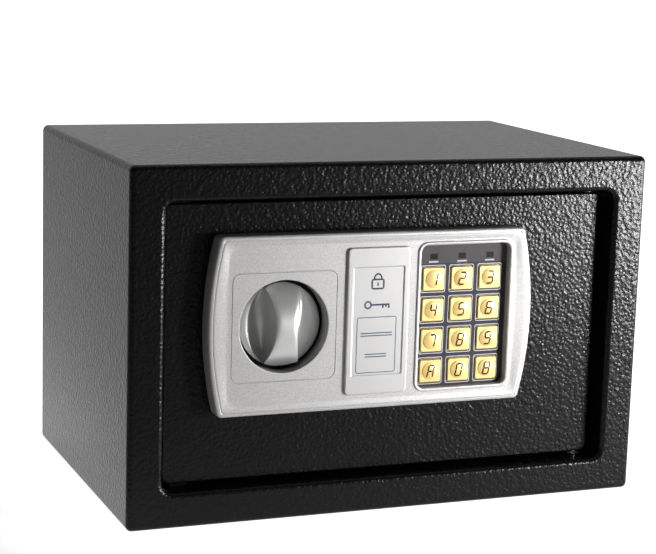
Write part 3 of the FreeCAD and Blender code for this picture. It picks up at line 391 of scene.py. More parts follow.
def make_materials():
    """One material for each slot in the record."""
    return {
        "black_paint": black_paint(),
        "fascia_silver": silver_paint("fascia_silver", (0.30, 0.296, 0.292), fleck=0.7),
        "cover_silver": silver_paint("cover_silver", (0.32, 0.317, 0.314), grain=0.00001, fleck=0.1),
        "knob_silver": silver_paint("knob_silver", (0.41, 0.407, 0.404), grain=0.00001, metallic=0.6,
                                    roughness=0.36, fleck=0.1),
        "key_gold": key_gold(),
        "keypad_grey": plastic("keypad_grey", (0.06, 0.057, 0.059), 0.5, grain=0.00001, specular=0.05),
        "light_black": plastic("light_black", (0.006, 0.005, 0.005), 0.3, grain=0.00001, specular=0.1),
        "black_plastic": plastic("black_plastic", (0.02, 0.02, 0.021), 0.5),
        "white_plastic": plastic("white_plastic", (0.74, 0.73, 0.69), 0.45),
        "red_plastic": plastic("red_plastic", (0.55, 0.02, 0.015), 0.3),
        "rubber_black": plastic("rubber_black", (0.025, 0.025, 0.026), 0.75),
        "cable_grey": plastic("cable_grey", (0.42, 0.42, 0.44), 0.5),
        "zinc_steel": bright_metal("zinc_steel", (0.60, 0.60, 0.57), 0.36, stretch=(1, 1, 6)),
        "bolt_steel": bright_metal("bolt_steel", (0.70, 0.70, 0.70), 0.2, stretch=(8, 1, 1)),
        "spring_steel": bright_metal("spring_steel", (0.45, 0.45, 0.46), 0.3),
        "brass": bright_metal("brass", (0.75, 0.56, 0.25), 0.25),
        "copper": bright_metal("copper", (0.68, 0.33, 0.17), 0.3, stretch=(1, 1, 9)),
        "board_green": circuit_board(),
        "battery_skin": battery_sleeve(),
        "felt_grey": felt(),
    }


def paint_nodes(materials):
    """Every CAD node takes the material of its slot."""
    for part in frame["record"]["subparts"]:
        mesh = nodes[part["node"]].data
        mesh.materials.clear()
        mesh.materials.append(materials[part["material_slot"]])


# ---------------------------------------------------------------- outlines and meshes

CORNER_STEPS = 8
HALVINGS = 30
SAME_POINT = 1e-7


def rounded_rect(x, z, w, h, r, steps=CORNER_STEPS):
    """Points round a rounded rectangle, the same number whatever its size."""
    points = []
    for quarter, (sx, sz) in enumerate(((1, -1), (1, 1), (-1, 1), (-1, -1))):
        for step in range(steps + 1):
            angle = math.radians(90 * (quarter - 1 + step / steps))
            points.append((x + sx * (w / 2 - r) + r * math.cos(angle),
                           z + sz * (h / 2 - r) + r * math.sin(angle)))
    return points


def circle(x, z, r, count):
    angles = [2 * math.pi * i / count for i in range(count)]
    return [(x + r * math.cos(a), z + r * math.sin(a)) for a in angles]


def spread_rect(x, z, w, h, r, count=120):
    """A rounded rectangle whose points are spread evenly by direction from its centre."""
    points = []
    for i in range(count):
        dx, dz = math.cos(2 * math.pi * i / count), math.sin(2 * math.pi * i / count)
        near, far = 0.0, w + h
        for _ in range(HALVINGS):
            middle = (near + far) / 2
            over = [max(abs(middle * d) - (size / 2 - r), 0) for d, size in ((dx, w), (dz, h))]
            if math.hypot(*over) <= r:
                near = middle
            else:
                far = middle
        points.append((x + dx * near, z + dz * near))
    return points


def circle_round(outline, x, z, r):
    """A circle whose points face those of another outline."""
    angles = [math.atan2(pz - z, px - x) for px, pz in outline]
    return [(x + r * math.cos(a), z + r * math.sin(a)) for a in angles]


def inside(point, outline):
    """Whether a point is inside a closed outline."""
    x, z = point
    hit = False
    for (x0, z0), (x1, z1) in zip(outline, outline[1:] + outline[:1]):
        if (z0 > z) != (z1 > z) and x < x0 + (x1 - x0) * (z - z0) / (z1 - z0):
            hit = not hit
    return hit


class Shape:
    """A mesh made of outlines at given depths behind the front plane, with bands and fills between them."""

    def __init__(self):
        self.points = []
        self.faces = []

    def ring(self, outline, depth):
        """Adds an outline. The depth is a number, or a function of the point."""
        start = len(self.points)
        for x, z in outline:
            d = depth(x, z) if callable(depth) else depth
            self.points.append(Vector((x, FRONT_Y + d, z)))
        return list(range(start, len(self.points)))

    def band(self, first, second):
        count = len(first)
        for i in range(count):
            j = (i + 1) % count
            self.faces.append((first[i], first[j], second[j], second[i]))

    def loft(self, steps):
        rings = [self.ring(outline, depth) for outline, depth in steps]
        for first, second in zip(rings, rings[1:]):
            self.band(first, second)
        return rings

    def cap(self, ring):
        self.faces.append(tuple(ring))

    def fill(self, outer, holes):
        """A flat face between an outer ring and the rings of its holes."""
        rings = [outer] + holes
        used = [i for ring in rings for i in ring]
        flat = [Vector((self.points[i].x, self.points[i].z)) for i in used]
        edges = []
        start = 0
        for ring in rings:
            edges += [(start + i, start + (i + 1) % len(ring)) for i in range(len(ring))]
            start += len(ring)
        _, _, triangles, origins, _, _ = delaunay_2d_cdt(flat, edges, [], 0, SAME_POINT)
        outlines = [[(self.points[i].x, self.points[i].z) for i in ring] for ring in rings]
        for triangle in triangles:
            corners = [used[origins[i][0]] for i in triangle]
            middle = sum((self.points[i] for i in corners), Vector()) / 3
            spot = (middle.x, middle.z)
            if inside(spot, outlines[0]) and not any(inside(spot, hole) for hole in outlines[1:]):
                self.faces.append(tuple(corners))

    def stroke(self, path, width, depth, raise_by, splits=4):
        """A thin printed line along a path of (x, z) points, lying on a surface given by its depth."""
        for (x0, z0), (x1, z1) in zip(path, path[1:]):
            length = math.hypot(x1 - x0, z1 - z0)
            side = (-(z1 - z0) / length * width / 2, (x1 - x0) / length * width / 2)
            rows = []
            for step in range(splits + 1):
                t = step / splits
                x, z = x0 + (x1 - x0) * t, z0 + (z1 - z0) * t
                row = []
                for sign, lift in ((-1, -SINK), (-1, raise_by), (1, raise_by), (1, -SINK)):
                    px, pz = x + sign * side[0], z + sign * side[1]
                    row.append(len(self.points))
                    self.points.append(Vector((px, FRONT_Y + depth(px, pz) - lift, pz)))
                rows.append(row)
            for first, second in zip(rows, rows[1:]):
                self.band(first, second)
            self.cap(rows[0])
            self.cap(rows[-1])


# How far a printed line goes below its surface, the gap between parts that only touch, and the ink's height.
SINK = 0.02 * MM
TOUCH = 0.02 * MM
INK = 0.03 * MM
SHARP = math.radians(32)


def piece(name, shape, body, slot, replaces=(), sharp=SHARP):
    """Makes the mesh into a piece that rides on a body, in the material of one slot."""
    mesh = bpy.data.meshes.new(name)
    mesh.from_pydata(shape.points, [], shape.faces)
    build = bmesh.new()
    build.from_mesh(mesh)
    bmesh.ops.recalc_face_normals(build, faces=build.faces)
    build.to_mesh(mesh)
    build.free()
    mesh.shade_smooth()
    mesh.set_sharp_from_angle(angle=sharp)
    mesh.materials.append(MATERIALS[slot])
    made = bpy.data.objects.new(name, mesh)
    bpy.context.scene.collection.objects.link(made)
    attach(made, body)
    if replaces:
        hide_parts(*replaces)
    return made


def printed(name, shape, body, slot, ink):
    """A printed piece with an ink of its own, put on in place of its slot's material."""
    made = piece(name, shape, body, slot)
    made.data.materials.clear()
    made.data.materials.append(INKS[ink])


def level(depth):
    """A flat surface to print on: the same depth everywhere."""
    def surface(x, z):
        return depth
    return surface


class Place:
    """A node's box at rest, read as a front view: centre, size, and the depths of its front and back."""

    def __init__(self, node):
        low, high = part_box(node)
        self.x, self.z = (low.x + high.x) / 2, (low.z + high.z) / 2
        self.w, self.h = high.x - low.x, high.z - low.z
        self.left, self.right, self.low, self.high = low.x, high.x, low.z, high.z
        self.front, self.back = low.y - FRONT_Y, high.y - FRONT_Y


# ---------------------------------------------------------------- fascia

FACE_DEPTH = 0.5 * MM
FASCIA_BULGE = 5.6 * MM
SMALL_CORNER_STEPS = 3
SIDE_STEPS = 24
POCKET_R = 26 * MM
PLATE_SIZE = 61.5 * MM
PLATE_R = 5 * MM
COVER_MARGIN = 1.6 * MM
FASCIA_WALL = 2.5 * MM
LIP_COVERS = 1.2 * MM
LIP_R = 4.0


def fascia_ring(where, inset, r, bulge):
    """The fascia's outline, moved in: straight top and bottom, bulging ends and small round corners."""
    half_w = where.w / 2 - FASCIA_BULGE - inset - r
    half_h = where.h / 2 - inset - r
    lean = math.atan2(2 * bulge, half_h)
    points = []
    for side in (1, -1):
        for step in range(SIDE_STEPS + 1):
            t = -1 + 2 * step / SIDE_STEPS
            angle = t * lean
            x = half_w + bulge * (1 - t * t) + r * math.cos(angle)
            points.append((where.x + side * x, where.z + side * (t * half_h + r * math.sin(angle))))
        for step in range(1, CORNER_STEPS + 1):
            angle = lean + (math.pi / 2 - lean) * step / CORNER_STEPS
            points.append((where.x + side * (half_w + r * math.cos(angle)),
                           where.z + side * (half_h + r * math.sin(angle))))
        for step in range(CORNER_STEPS):
            angle = math.pi / 2 + (math.pi / 2 - lean) * step / CORNER_STEPS
            points.append((where.x + side * (-half_w + r * math.cos(angle)),
                           where.z + side * (half_h + r * math.sin(angle))))
    return points


# The fascia's edge, from the door inwards: inset, depth, corner radius and bulge, all in mm.
FASCIA_EDGE = (
    (0.0, 11.0, 3.0, 5.6), (0.0, 1.5, 3.0, 5.6), (0.1, 0.9, 3.0, 5.6), (0.4, 0.35, 2.8, 5.6),
    (0.9, 0.05, 2.4, 5.6), (1.4, 0.0, 2.2, 5.6), (2.1, 0.0, 2.0, 5.6), (2.25, 0.12, 2.0, 5.6),
    (2.45, 0.12, 2.0, 5.6), (2.6, 0.02, 2.0, 5.5), (3.0, 0.05, 2.6, 5.0), (3.6, 0.13, 4.0, 4.0),
    (4.2, 0.25, 5.6, 2.8), (4.8, 0.38, 7.2, 1.6), (5.3, 0.465, 8.4, 0.8), (5.7, 0.495, 9.0, 0.2),
    (5.9, 0.5, 9.2, 0.0),
)

# Sections through the fascia's details, all in mm. The groove round the knob's plate: inset, depth.
GROOVE = ((-0.3, 0), (0, 0), (0.2, 0.26), (0.5, 0.26), (0.7, 0), (1.0, 0))
# The knob's pocket: distance outside its wall, depth.
POCKET = ((0.6, 0.5), (0.25, 0.5), (0.1, 0.55), (0, 0.75), (0, 1.2), (0, 11))
# The lip round the keypad: distance outside the opening, depth.
LIP = ((2.1, 0.5), (2.05, 0.25), (2.0, 0.02), (1.8, -0.2), (1.5, -0.3), (1.0, -0.3), (0.4, -0.15),
       (0.1, 0.25), (0, 0.8), (0, 4.5))
# The hole behind the keyhole cover: depths of its two edges, and its corners.
HOLE_DEPTHS = (0.5, 2.5)
HOLE_R = 1 * MM
POCKET_POINTS = 96


def make_fascia():
    """The moulded front: rolled edge with a fine line inside it, shallow dish, knob plate and keypad lip."""
    where = Place("panel_housing")
    knob = Place("knob")
    cover = Place("keyhole_cover")
    sheet = Place("keypad_sheet")
    pad_w, pad_h = sheet.w - FASCIA_WALL - LIP_COVERS, sheet.h - FASCIA_WALL
    pad_x = sheet.x + LIP_COVERS / 2
    shape = Shape()
    steps = [(fascia_ring(where, inset * MM, r * MM, bulge * MM), depth * MM)
             for inset, depth, r, bulge in FASCIA_EDGE]
    face_edge = shape.loft(steps)[-1]

    groove = shape.loft([(rounded_rect(knob.x, knob.z, PLATE_SIZE - 2 * i * MM, PLATE_SIZE - 2 * i * MM,
                                       PLATE_R - i * MM), FACE_DEPTH + d * MM) for i, d in GROOVE])
    pocket = shape.loft([(circle(knob.x, knob.z, POCKET_R + i * MM, POCKET_POINTS), d * MM)
                         for i, d in POCKET])
    shape.fill(groove[-1], [pocket[0]])

    lip = shape.loft([(rounded_rect(pad_x, sheet.z, pad_w + 2 * i * MM, pad_h + 2 * i * MM, (LIP_R + i) * MM),
                       d * MM) for i, d in LIP])
    hole_w, hole_h = cover.w - 2 * COVER_MARGIN, cover.h - 2 * COVER_MARGIN
    hole = shape.loft([(rounded_rect(cover.x, cover.z, hole_w, hole_h, HOLE_R), d * MM) for d in HOLE_DEPTHS])
    shape.fill(face_edge, [groove[0], lip[0], hole[0]])
    piece("fascia_moulding", shape, "door", "fascia_silver", ("panel_housing",))


# ---------------------------------------------------------------- keyhole cover and its print

COVER_BORDER_W = 3.25 * MM
COVER_BORDER_H = 10.8 * MM
COVER_RECESS = 0.5 * MM

# Sections through the cover, all in mm: inset, corner radius and depth behind the cover's front.
COVER_EDGE = ((0, 2.5, 1.68), (0, 2.5, 0.7), (0.12, 2.4, 0.35), (0.35, 2.2, 0.1), (0.7, 2.0, 0.01),
              (0.9, 1.8, 0), (1.2, 1.6, 0))
LABEL_EDGE = ((-0.4, 1.4, 0), (0, 1.2, 0), (0.15, 1.0, 0.08), (0.3, 0.9, 0.42), (0.45, 0.9, 0.5),
              (0.8, 0.8, 0.5))
# The skirt: inset and depth behind the front plane, and its corners.
COVER_SKIRT = ((1.85, 0.5), (1.85, 3.5), (3.3, 3.5), (3.3, 0.5))
SKIRT_R = 1.0


def make_cover():
    """The cover: a raised tray with a recessed label area, and a skirt that clips into the fascia."""
    where = Place("keyhole_cover")
    shape = Shape()

    def outline(inset, r):
        return rounded_rect(where.x, where.z, where.w - 2 * inset * MM, where.h - 2 * inset * MM, r * MM)

    label_w, label_h = where.w - 2 * COVER_BORDER_W, where.h - 2 * COVER_BORDER_H
    rings = shape.loft([(outline(i, r), where.front + d * MM) for i, r, d in COVER_EDGE])
    recess = shape.loft([(rounded_rect(where.x, where.z, label_w - 2 * i * MM, label_h - 2 * i * MM, r * MM),
                          where.front + d * MM) for i, r, d in LABEL_EDGE])
    shape.fill(rings[-1], [recess[0]])
    shape.cap(recess[-1])
    skirt = shape.loft([(outline(i, SKIRT_R), d * MM) for i, d in COVER_SKIRT])
    shape.band(rings[0], skirt[0])
    shape.cap(skirt[-1])
    piece("keyhole_cover_tray", shape, "keyhole_cover", "cover_silver", ("keyhole_cover",))
    make_cover_print(where)


PRINT_SHIFT = -0.5 * MM
LOCK_RISE = 21 * MM
LOCK_W = 7 * MM
LOCK_H = 5.2 * MM
LOCK_R = 0.8 * MM
LOCK_LINE = 0.95 * MM
BOW_RISE = 3 * MM
BOW_HALF_W = 2.2 * MM
BOW_H = 2.8 * MM
BOW_STEPS = 10
SLOT_HIGH = 0.9 * MM
SLOT_LOW = -1.1 * MM
SLOT_LINE = 0.8 * MM
SIGN_KEY_RISE = 9.3 * MM
SIGN_KEY_LINE = 1.0 * MM
SIGN_KEY_RING_X = -5.6 * MM
SIGN_KEY_RING_R = 1.9 * MM
SIGN_KEY_RING_POINTS = 16
SIGN_KEY_TIP = 7.4 * MM
SIGN_KEY_TEETH = ((3.4, 2.0), (5.2, 1.4), (7.0, 2.2))  # place along the shaft and length, in mm
BOX_DROP = 13.5 * MM
BOX_W = 23.5 * MM
BOX_H = 31.5 * MM
BOX_R = 1 * MM
BOX_LINE = 0.45 * MM
BARS = ((7.5, 9.5), (19.5, 6.5))  # how far below the cover's middle, and half length, in mm
BAR_HALF_H = 0.75 * MM
BAR_LINE = 0.6 * MM


def make_cover_print(where):
    """Printed on the cover: a padlock and a key as plain signs, and a box with two open bars in it."""
    surface = level(where.front + COVER_RECESS)
    x = where.x + PRINT_SHIFT

    def draw(shape, path, width):
        shape.stroke(path, width, surface, INK, splits=1)

    grey = Shape()
    lock_z = where.z + LOCK_RISE
    body = rounded_rect(x, lock_z, LOCK_W, LOCK_H, LOCK_R, SMALL_CORNER_STEPS)
    draw(grey, body + body[:1], LOCK_LINE)
    turns = [math.pi * i / BOW_STEPS for i in range(BOW_STEPS + 1)]
    bow = [(x + BOW_HALF_W * math.cos(a), lock_z + BOW_RISE + BOW_H * math.sin(a)) for a in turns]
    draw(grey, bow, LOCK_LINE)
    draw(grey, [(x, lock_z + SLOT_HIGH), (x, lock_z + SLOT_LOW)], SLOT_LINE)
    printed("cover_print_sign", grey, "keyhole_cover", "cover_silver", "dark")

    blue = Shape()
    key_z = where.z + SIGN_KEY_RISE
    ring = circle(x + SIGN_KEY_RING_X, key_z, SIGN_KEY_RING_R, SIGN_KEY_RING_POINTS)
    draw(blue, ring + ring[:1], SIGN_KEY_LINE)
    shaft_start = x + SIGN_KEY_RING_X + SIGN_KEY_RING_R
    draw(blue, [(shaft_start, key_z), (x + SIGN_KEY_TIP, key_z)], SIGN_KEY_LINE)
    for tooth, length in SIGN_KEY_TEETH:
        draw(blue, [(x + tooth * MM, key_z), (x + tooth * MM, key_z - length * MM)], SIGN_KEY_LINE)
    box = rounded_rect(x, where.z - BOX_DROP, BOX_W, BOX_H, BOX_R, SMALL_CORNER_STEPS)
    draw(blue, box + box[:1], BOX_LINE)
    for drop, half in BARS:
        for side in (-BAR_HALF_H, BAR_HALF_H):
            z = where.z - drop * MM + side
            draw(blue, [(x - half * MM, z), (x + half * MM, z)], BAR_LINE)
    printed("cover_print_lines", blue, "keyhole_cover", "cover_silver", "blue")


# ---------------------------------------------------------------- knob

# The grip's half width at its waist and the radius of its sides, then the same for the hollows' outer edges.
RIDGE_HALF = 6 * MM
RIDGE_R = 58 * MM
LENS_HALF = 19.3 * MM
LENS_R = 28.6 * MM
KNOB_RIM = 8 * MM
KNOB_ROWS = 64
# The hollow: its depth, the width from which it has all of it, and where across it the floor is lowest.
DISH = 2.2 * MM
DISH_END = 9 * MM
DISH_MIDDLE = 0.5
DISH_TWIST = 0.38
RIM_ROLL = 0.5 * MM
RIM_ROLL_START = 0.7
KNOB_SHARP = math.radians(40)
LAST_ROW_ANGLE = 88

# Towards the ends of the grip there's no room for a hollow. These keep the outlines apart there: the least
# room beside the grip that has a hollow in it, the least widths of the hollow and the rim, the hollow's part
# of the disc's half width where there's less room, and the most that the grip takes of the hollow's.
ROOM_LEAST = 0.6 * MM
HOLLOW_LEAST = 0.02 * MM
RIM_LEAST = 0.4 * MM
HOLLOW_SHARE = 0.98
GRIP_SHARE = 0.985

# Where a row has its points, as parts of the way across the grip, down to the hollow's floor, up from it
# to the rim, and across the rim.
GRIP_PARTS = (0, 0.2, 0.4, 0.6, 0.75, 0.88, 0.95, 1.0)
DOWN_PARTS = (0.04, 0.1, 0.2, 0.34, 0.5, 0.66, 0.82, 1.0)
UP_PARTS = (0.1, 0.22, 0.36, 0.5, 0.64, 0.78, 0.9, 1.0)
RIM_PARTS = (0.25, 0.7, 0.92, 1.0)

# The grip's edge drops by this part of its rise, and these powers shape the edge and the hollow's two slopes.
GRIP_EDGE_DROP = 0.06
GRIP_EDGE_POWER = 8
DOWN_POWER = 2.4
UP_POWER = 1.4


def make_knob():
    """A disc with an arched grip across it and a hollow each side, built in rows along the grip."""
    where = Place("knob")
    radius = where.w / 2
    rise = KNOB_RIM - where.front
    arch_r = (radius ** 2 + rise ** 2) / (2 * rise)

    def across(v):
        """Half widths of the grip, the hollow and the disc at height v."""
        disc = math.sqrt(max(radius ** 2 - v * v, 0))
        grip = RIDGE_HALF + RIDGE_R - math.sqrt(RIDGE_R ** 2 - v * v)
        lens = LENS_HALF - LENS_R + math.sqrt(max(LENS_R ** 2 - v * v, 0))
        if disc > grip + ROOM_LEAST:
            lens = min(max(lens, grip + HOLLOW_LEAST), disc - RIM_LEAST)
        else:
            lens = disc * HOLLOW_SHARE
        return min(grip, lens * GRIP_SHARE), lens, disc

    def row(v):
        """The points of the row at height v, from left to right."""
        grip, lens, disc = across(v)
        arch = where.front + arch_r - math.sqrt(arch_r ** 2 - v * v)
        rise_here = KNOB_RIM - arch
        points = []
        for t in GRIP_PARTS:
            points.append((t * grip, arch + GRIP_EDGE_DROP * rise_here * t ** GRIP_EDGE_POWER))
        turn = DISH_MIDDLE + DISH_TWIST * v / radius
        floor = KNOB_RIM + DISH * min(1, (lens - grip) / DISH_END)
        wall = floor - KNOB_RIM + rise_here * (1 - GRIP_EDGE_DROP)
        for t in DOWN_PARTS:
            points.append((grip + (lens - grip) * turn * t, floor - wall * (1 - t) ** DOWN_POWER))
        for t in UP_PARTS:
            points.append((grip + (lens - grip) * (turn + (1 - turn) * t),
                           floor - (floor - KNOB_RIM) * t ** UP_POWER))
        for t in RIM_PARTS:
            roll = max(0, (t - RIM_ROLL_START) / (1 - RIM_ROLL_START))
            points.append((lens + (disc - lens) * t, KNOB_RIM + RIM_ROLL * roll ** 2))
        left = [(-u, d) for u, d in reversed(points[1:])]
        return [(where.x + u, d) for u, d in left + points]

    shape = Shape()
    rows = []
    for index in range(KNOB_ROWS + 1):
        v = radius * math.sin(math.radians(LAST_ROW_ANGLE * (2 * index / KNOB_ROWS - 1)))
        start = len(shape.points)
        for x, d in row(v):
            shape.points.append(Vector((x, FRONT_Y + min(d, where.back), where.z + v)))
        rows.append(list(range(start, len(shape.points))))
    for first, second in zip(rows, rows[1:]):
        for i in range(len(first) - 1):
            shape.faces.append((first[i], first[i + 1], second[i + 1], second[i]))
    rim = rows[0] + [r[-1] for r in rows[1:-1]] + rows[-1][::-1] + [r[0] for r in rows[-2:0:-1]]
    back = []
    for i in rim:
        back.append(len(shape.points))
        point = shape.points[i]
        shape.points.append(Vector((point.x, FRONT_Y + where.back, point.z)))
    shape.band(rim, back)
    shape.cap(back)
    piece("knob_grip", shape, "knob", "knob_silver", ("knob",), sharp=KNOB_SHARP)


# ---------------------------------------------------------------- keypad

KEY_FACE = 3.4 * MM
KEY_LIP = 1.0 * MM
KEY_LIP_T = 0.8 * MM
KEY_LIP_R = 1.0 * MM
DOME_EDGE_R = 5.0 * MM
DOME_STEP = 0.3 * MM
DOME_H = 0.9 * MM
KEY_NAMES = ("1", "2", "3", "4", "5", "6", "7", "8", "9", "a", "0", "b")
DIGIT_W = 3.4 * MM
DIGIT_H = 6.9 * MM
DIGIT_LINE = 0.92 * MM
DIGIT_SLANT = 0.2
STROKE_GAP = 0.1

# A key's edge, in mm: inset, corner radius and depth behind its face. Then the rings just outside the dome's
# foot, and those on the dome as parts of its radius.
KEY_EDGE = ((0, 1, 0.5), (0.1, 0.95, 0.2), (0.3, 0.85, 0.02), (0.5, 0.8, 0), (0.7, 0.8, 0))
KEY_BASE_INSET = 0.4
KEY_BASE_R = 0.8
FOOT_RINGS = (0.35, 0.1)
DOME_RINGS = (0.995, 0.98, 0.94, 0.86, 0.75, 0.62, 0.48, 0.32, 0.15)

# The seven strokes of a figure on a unit box, and which of them each figure has.
STROKES = {
    "top": ((-1, 1), (1, 1)), "middle": ((-1, 0), (1, 0)), "bottom": ((-1, -1), (1, -1)),
    "high_left": ((-1, 0), (-1, 1)), "high_right": ((1, 0), (1, 1)),
    "low_left": ((-1, -1), (-1, 0)), "low_right": ((1, -1), (1, 0)),
}
FIGURES = {
    "0": "top bottom high_left high_right low_left low_right", "1": "high_right low_right",
    "2": "top middle bottom high_right low_left", "3": "top middle bottom high_right low_right",
    "4": "middle high_left high_right low_right", "5": "top middle bottom high_left low_right",
    "6": "top middle bottom high_left low_left low_right", "7": "top high_right low_right",
    "8": "top middle bottom high_left high_right low_left low_right",
    "9": "top middle bottom high_left high_right low_right",
    "a": "top middle high_left high_right low_left low_right",
    "b": "top middle bottom high_left high_right low_left low_right",
}


def dome_depth(where):
    """The depth of a key's face at a point: flat, with a shallow dome in the middle."""
    def depth(x, z):
        far = math.hypot(x - where.x, z - where.z)
        if far >= DOME_EDGE_R:
            return KEY_FACE
        return KEY_FACE - DOME_STEP - (DOME_H - DOME_STEP) * (1 - (far / DOME_EDGE_R) ** 2)
    return depth


def make_key(name):
    """A key's cap with its lip and dome, and the figure printed on it."""
    node = "key_" + name
    where = Place(node)
    cap_w, cap_h = where.w - 2 * KEY_LIP, where.h - 2 * KEY_LIP
    shape = Shape()

    def outline(inset, r):
        return spread_rect(where.x, where.z, cap_w - 2 * inset * MM, cap_h - 2 * inset * MM, r * MM)

    lip = spread_rect(where.x, where.z, where.w, where.h, KEY_LIP_R)
    lip_front = where.back - KEY_LIP_T + TOUCH
    steps = [(lip, where.back), (lip, lip_front), (outline(0, 1), lip_front)]
    steps += [(outline(i, r), KEY_FACE + d * MM) for i, r, d in KEY_EDGE]
    base = outline(KEY_BASE_INSET, KEY_BASE_R)
    for r in FOOT_RINGS:
        steps.append((circle_round(base, where.x, where.z, DOME_EDGE_R + r * MM), KEY_FACE))
    depth = dome_depth(where)
    for part in DOME_RINGS:
        steps.append((circle_round(base, where.x, where.z, DOME_EDGE_R * part), depth))
    rings = shape.loft(steps)
    shape.cap(rings[-1])
    shape.cap(rings[0])
    piece(node + "_cap", shape, node, "key_gold", (node,))

    figure = Shape()
    for stroke in FIGURES[name].split():
        (x0, z0), (x1, z1) = STROKES[stroke]
        middle_x, middle_z = (x0 + x1) / 2, (z0 + z1) / 2
        path = []
        for x, z in ((x0, z0), (x1, z1)):
            px = (middle_x + (x - middle_x) * (1 - STROKE_GAP)) * DIGIT_W / 2
            pz = (middle_z + (z - middle_z) * (1 - STROKE_GAP)) * DIGIT_H / 2
            path.append((where.x + px + pz * DIGIT_SLANT, where.z + pz))
        figure.stroke(path, DIGIT_LINE, depth, INK)
    printed(node + "_figure", figure, node, "light_black", "brown")


FRAME_W = 15.4 * MM
FRAME_H = 15.8 * MM
FRAME_LINE = 0.5 * MM
FRAME_R = 1.1 * MM
FRAME_INNER_R = 0.7 * MM
INK_OVERLAP = 0.3 * MM
INK_HOLE_R = 1 * MM
INK_ABOVE = 0.9 * MM
INK_BELOW = 1.2 * MM
INK_CORNER_R = 0.5 * MM

# The pale bars below each light, and in mm: how far below, how far apart, half length, and each one's gain.
LIGHT_BARS = ((0,), (0, 1), (0,))
LIGHT_BAR_DROP = 1.4
LIGHT_BAR_PITCH = 1.3
LIGHT_BAR_HALF = 2.9
LIGHT_BAR_GAIN = 0.6
LIGHT_BAR_LINE = 0.85 * MM


def make_keypad_print():
    """The printed film: darker ink round the keys, a pale frame round each, and bars below the lights."""
    sheet = Place("keypad_sheet")
    keys = [Place("key_" + name) for name in KEY_NAMES]
    ink = Shape()
    top = max(k.z for k in keys) + FRAME_H / 2 + INK_ABOVE
    low = min(k.z for k in keys) - FRAME_H / 2 - INK_BELOW
    area = rounded_rect(sheet.x, (top + low) / 2, sheet.w - FASCIA_WALL, top - low, INK_CORNER_R, steps=2)
    outer = ink.ring(area, sheet.front - INK)
    hole_w, hole_h = FRAME_W - INK_OVERLAP, FRAME_H - INK_OVERLAP
    hole_outlines = [rounded_rect(k.x, k.z, hole_w, hole_h, INK_HOLE_R, SMALL_CORNER_STEPS) for k in keys]
    holes = [ink.ring(outline, sheet.front - INK) for outline in hole_outlines]
    ink.fill(outer, holes)
    printed("keypad_film_ink", ink, "door", "keypad_grey", "film")

    pale = Shape()
    inner_w, inner_h = FRAME_W - 2 * FRAME_LINE, FRAME_H - 2 * FRAME_LINE
    for k in keys:
        frame_out = rounded_rect(k.x, k.z, FRAME_W, FRAME_H, FRAME_R, SMALL_CORNER_STEPS)
        frame_in = rounded_rect(k.x, k.z, inner_w, inner_h, FRAME_INNER_R, SMALL_CORNER_STEPS)
        rings = pale.loft([(frame_out, sheet.front), (frame_out, sheet.front - 2 * INK),
                           (frame_in, sheet.front - 2 * INK), (frame_in, sheet.front)])
        pale.band(rings[-1], rings[0])
    light = Place("status_lights")
    surface = level(sheet.front)
    for key, rows in zip(keys, LIGHT_BARS):
        for row in rows:
            z = light.low - (LIGHT_BAR_DROP + LIGHT_BAR_PITCH * row) * MM
            half = (LIGHT_BAR_HALF + LIGHT_BAR_GAIN * row) * MM
            pale.stroke([(key.x - half, z), (key.x + half, z)], LIGHT_BAR_LINE, surface, INK, splits=1)
    printed("keypad_frames", pale, "door", "keypad_grey", "pale")


# ---------------------------------------------------------------- back of the door

SCREW_POINTS = 32
SCREW_HEAD = 4.0 * MM
SCREW_SHANK = 2.0 * MM
SCREW_REACH = 10 * MM
CROSS_LONG = 2.2 * MM
CROSS_HALF = 0.45 * MM
CROSS_DEPTH = 1.2 * MM

# The head's side: its radius as a part of the full one, and its height above the cover in mm. Then the radii
# of its flat top's edge.
HEAD_SIDE = ((1.0, 0.0), (1.0, 0.9), (0.93, 1.5), (0.78, 2.0))
HEAD_TOP = (0.62, 0.6)


def cross(x, z):
    """The outline of a cross-head recess."""
    a, b = CROSS_LONG, CROSS_HALF
    corners = ((a, -b), (a, b), (b, b), (b, a), (-b, a), (-b, b),
               (-a, b), (-a, -b), (-b, -b), (-b, -a), (b, -a), (b, -b))
    return [(x + px, z + pz) for px, pz in corners]


def make_cover_screws():
    """Six pan-head screws with cross recesses hold the inner cover to its posts."""
    where = Place("cover_screws")
    face = Place("inner_cover").back
    steps = [(SCREW_SHANK, face - SCREW_REACH), (SCREW_SHANK, face)]
    steps += [(SCREW_HEAD * part, face + height * MM) for part, height in HEAD_SIDE]
    steps += [(SCREW_HEAD * part, where.back) for part in HEAD_TOP]
    shape = Shape()
    for x in (where.left + SCREW_HEAD, 0.0, where.right - SCREW_HEAD):
        for z in (where.low + SCREW_HEAD, where.high - SCREW_HEAD):
            rings = shape.loft([(circle(x, z, r, SCREW_POINTS), depth) for r, depth in steps])
            shape.cap(rings[0])
            recess = shape.loft([(cross(x, z), where.back), (cross(x, z), where.back - CROSS_DEPTH)])
            shape.fill(rings[-1], [recess[0]])
            shape.cap(recess[-1])
    piece("cover_screws_cross", shape, "door", "zinc_steel", ("cover_screws",))


BEAD_INSET = 14 * MM
BEAD_R = 6

# Across the bead, in mm: inset and height above the cover.
BEAD = ((0, -0.1), (0.4, 0.25), (1.2, 0.6), (2.0, 0.6), (2.8, 0.25), (3.2, -0.1))


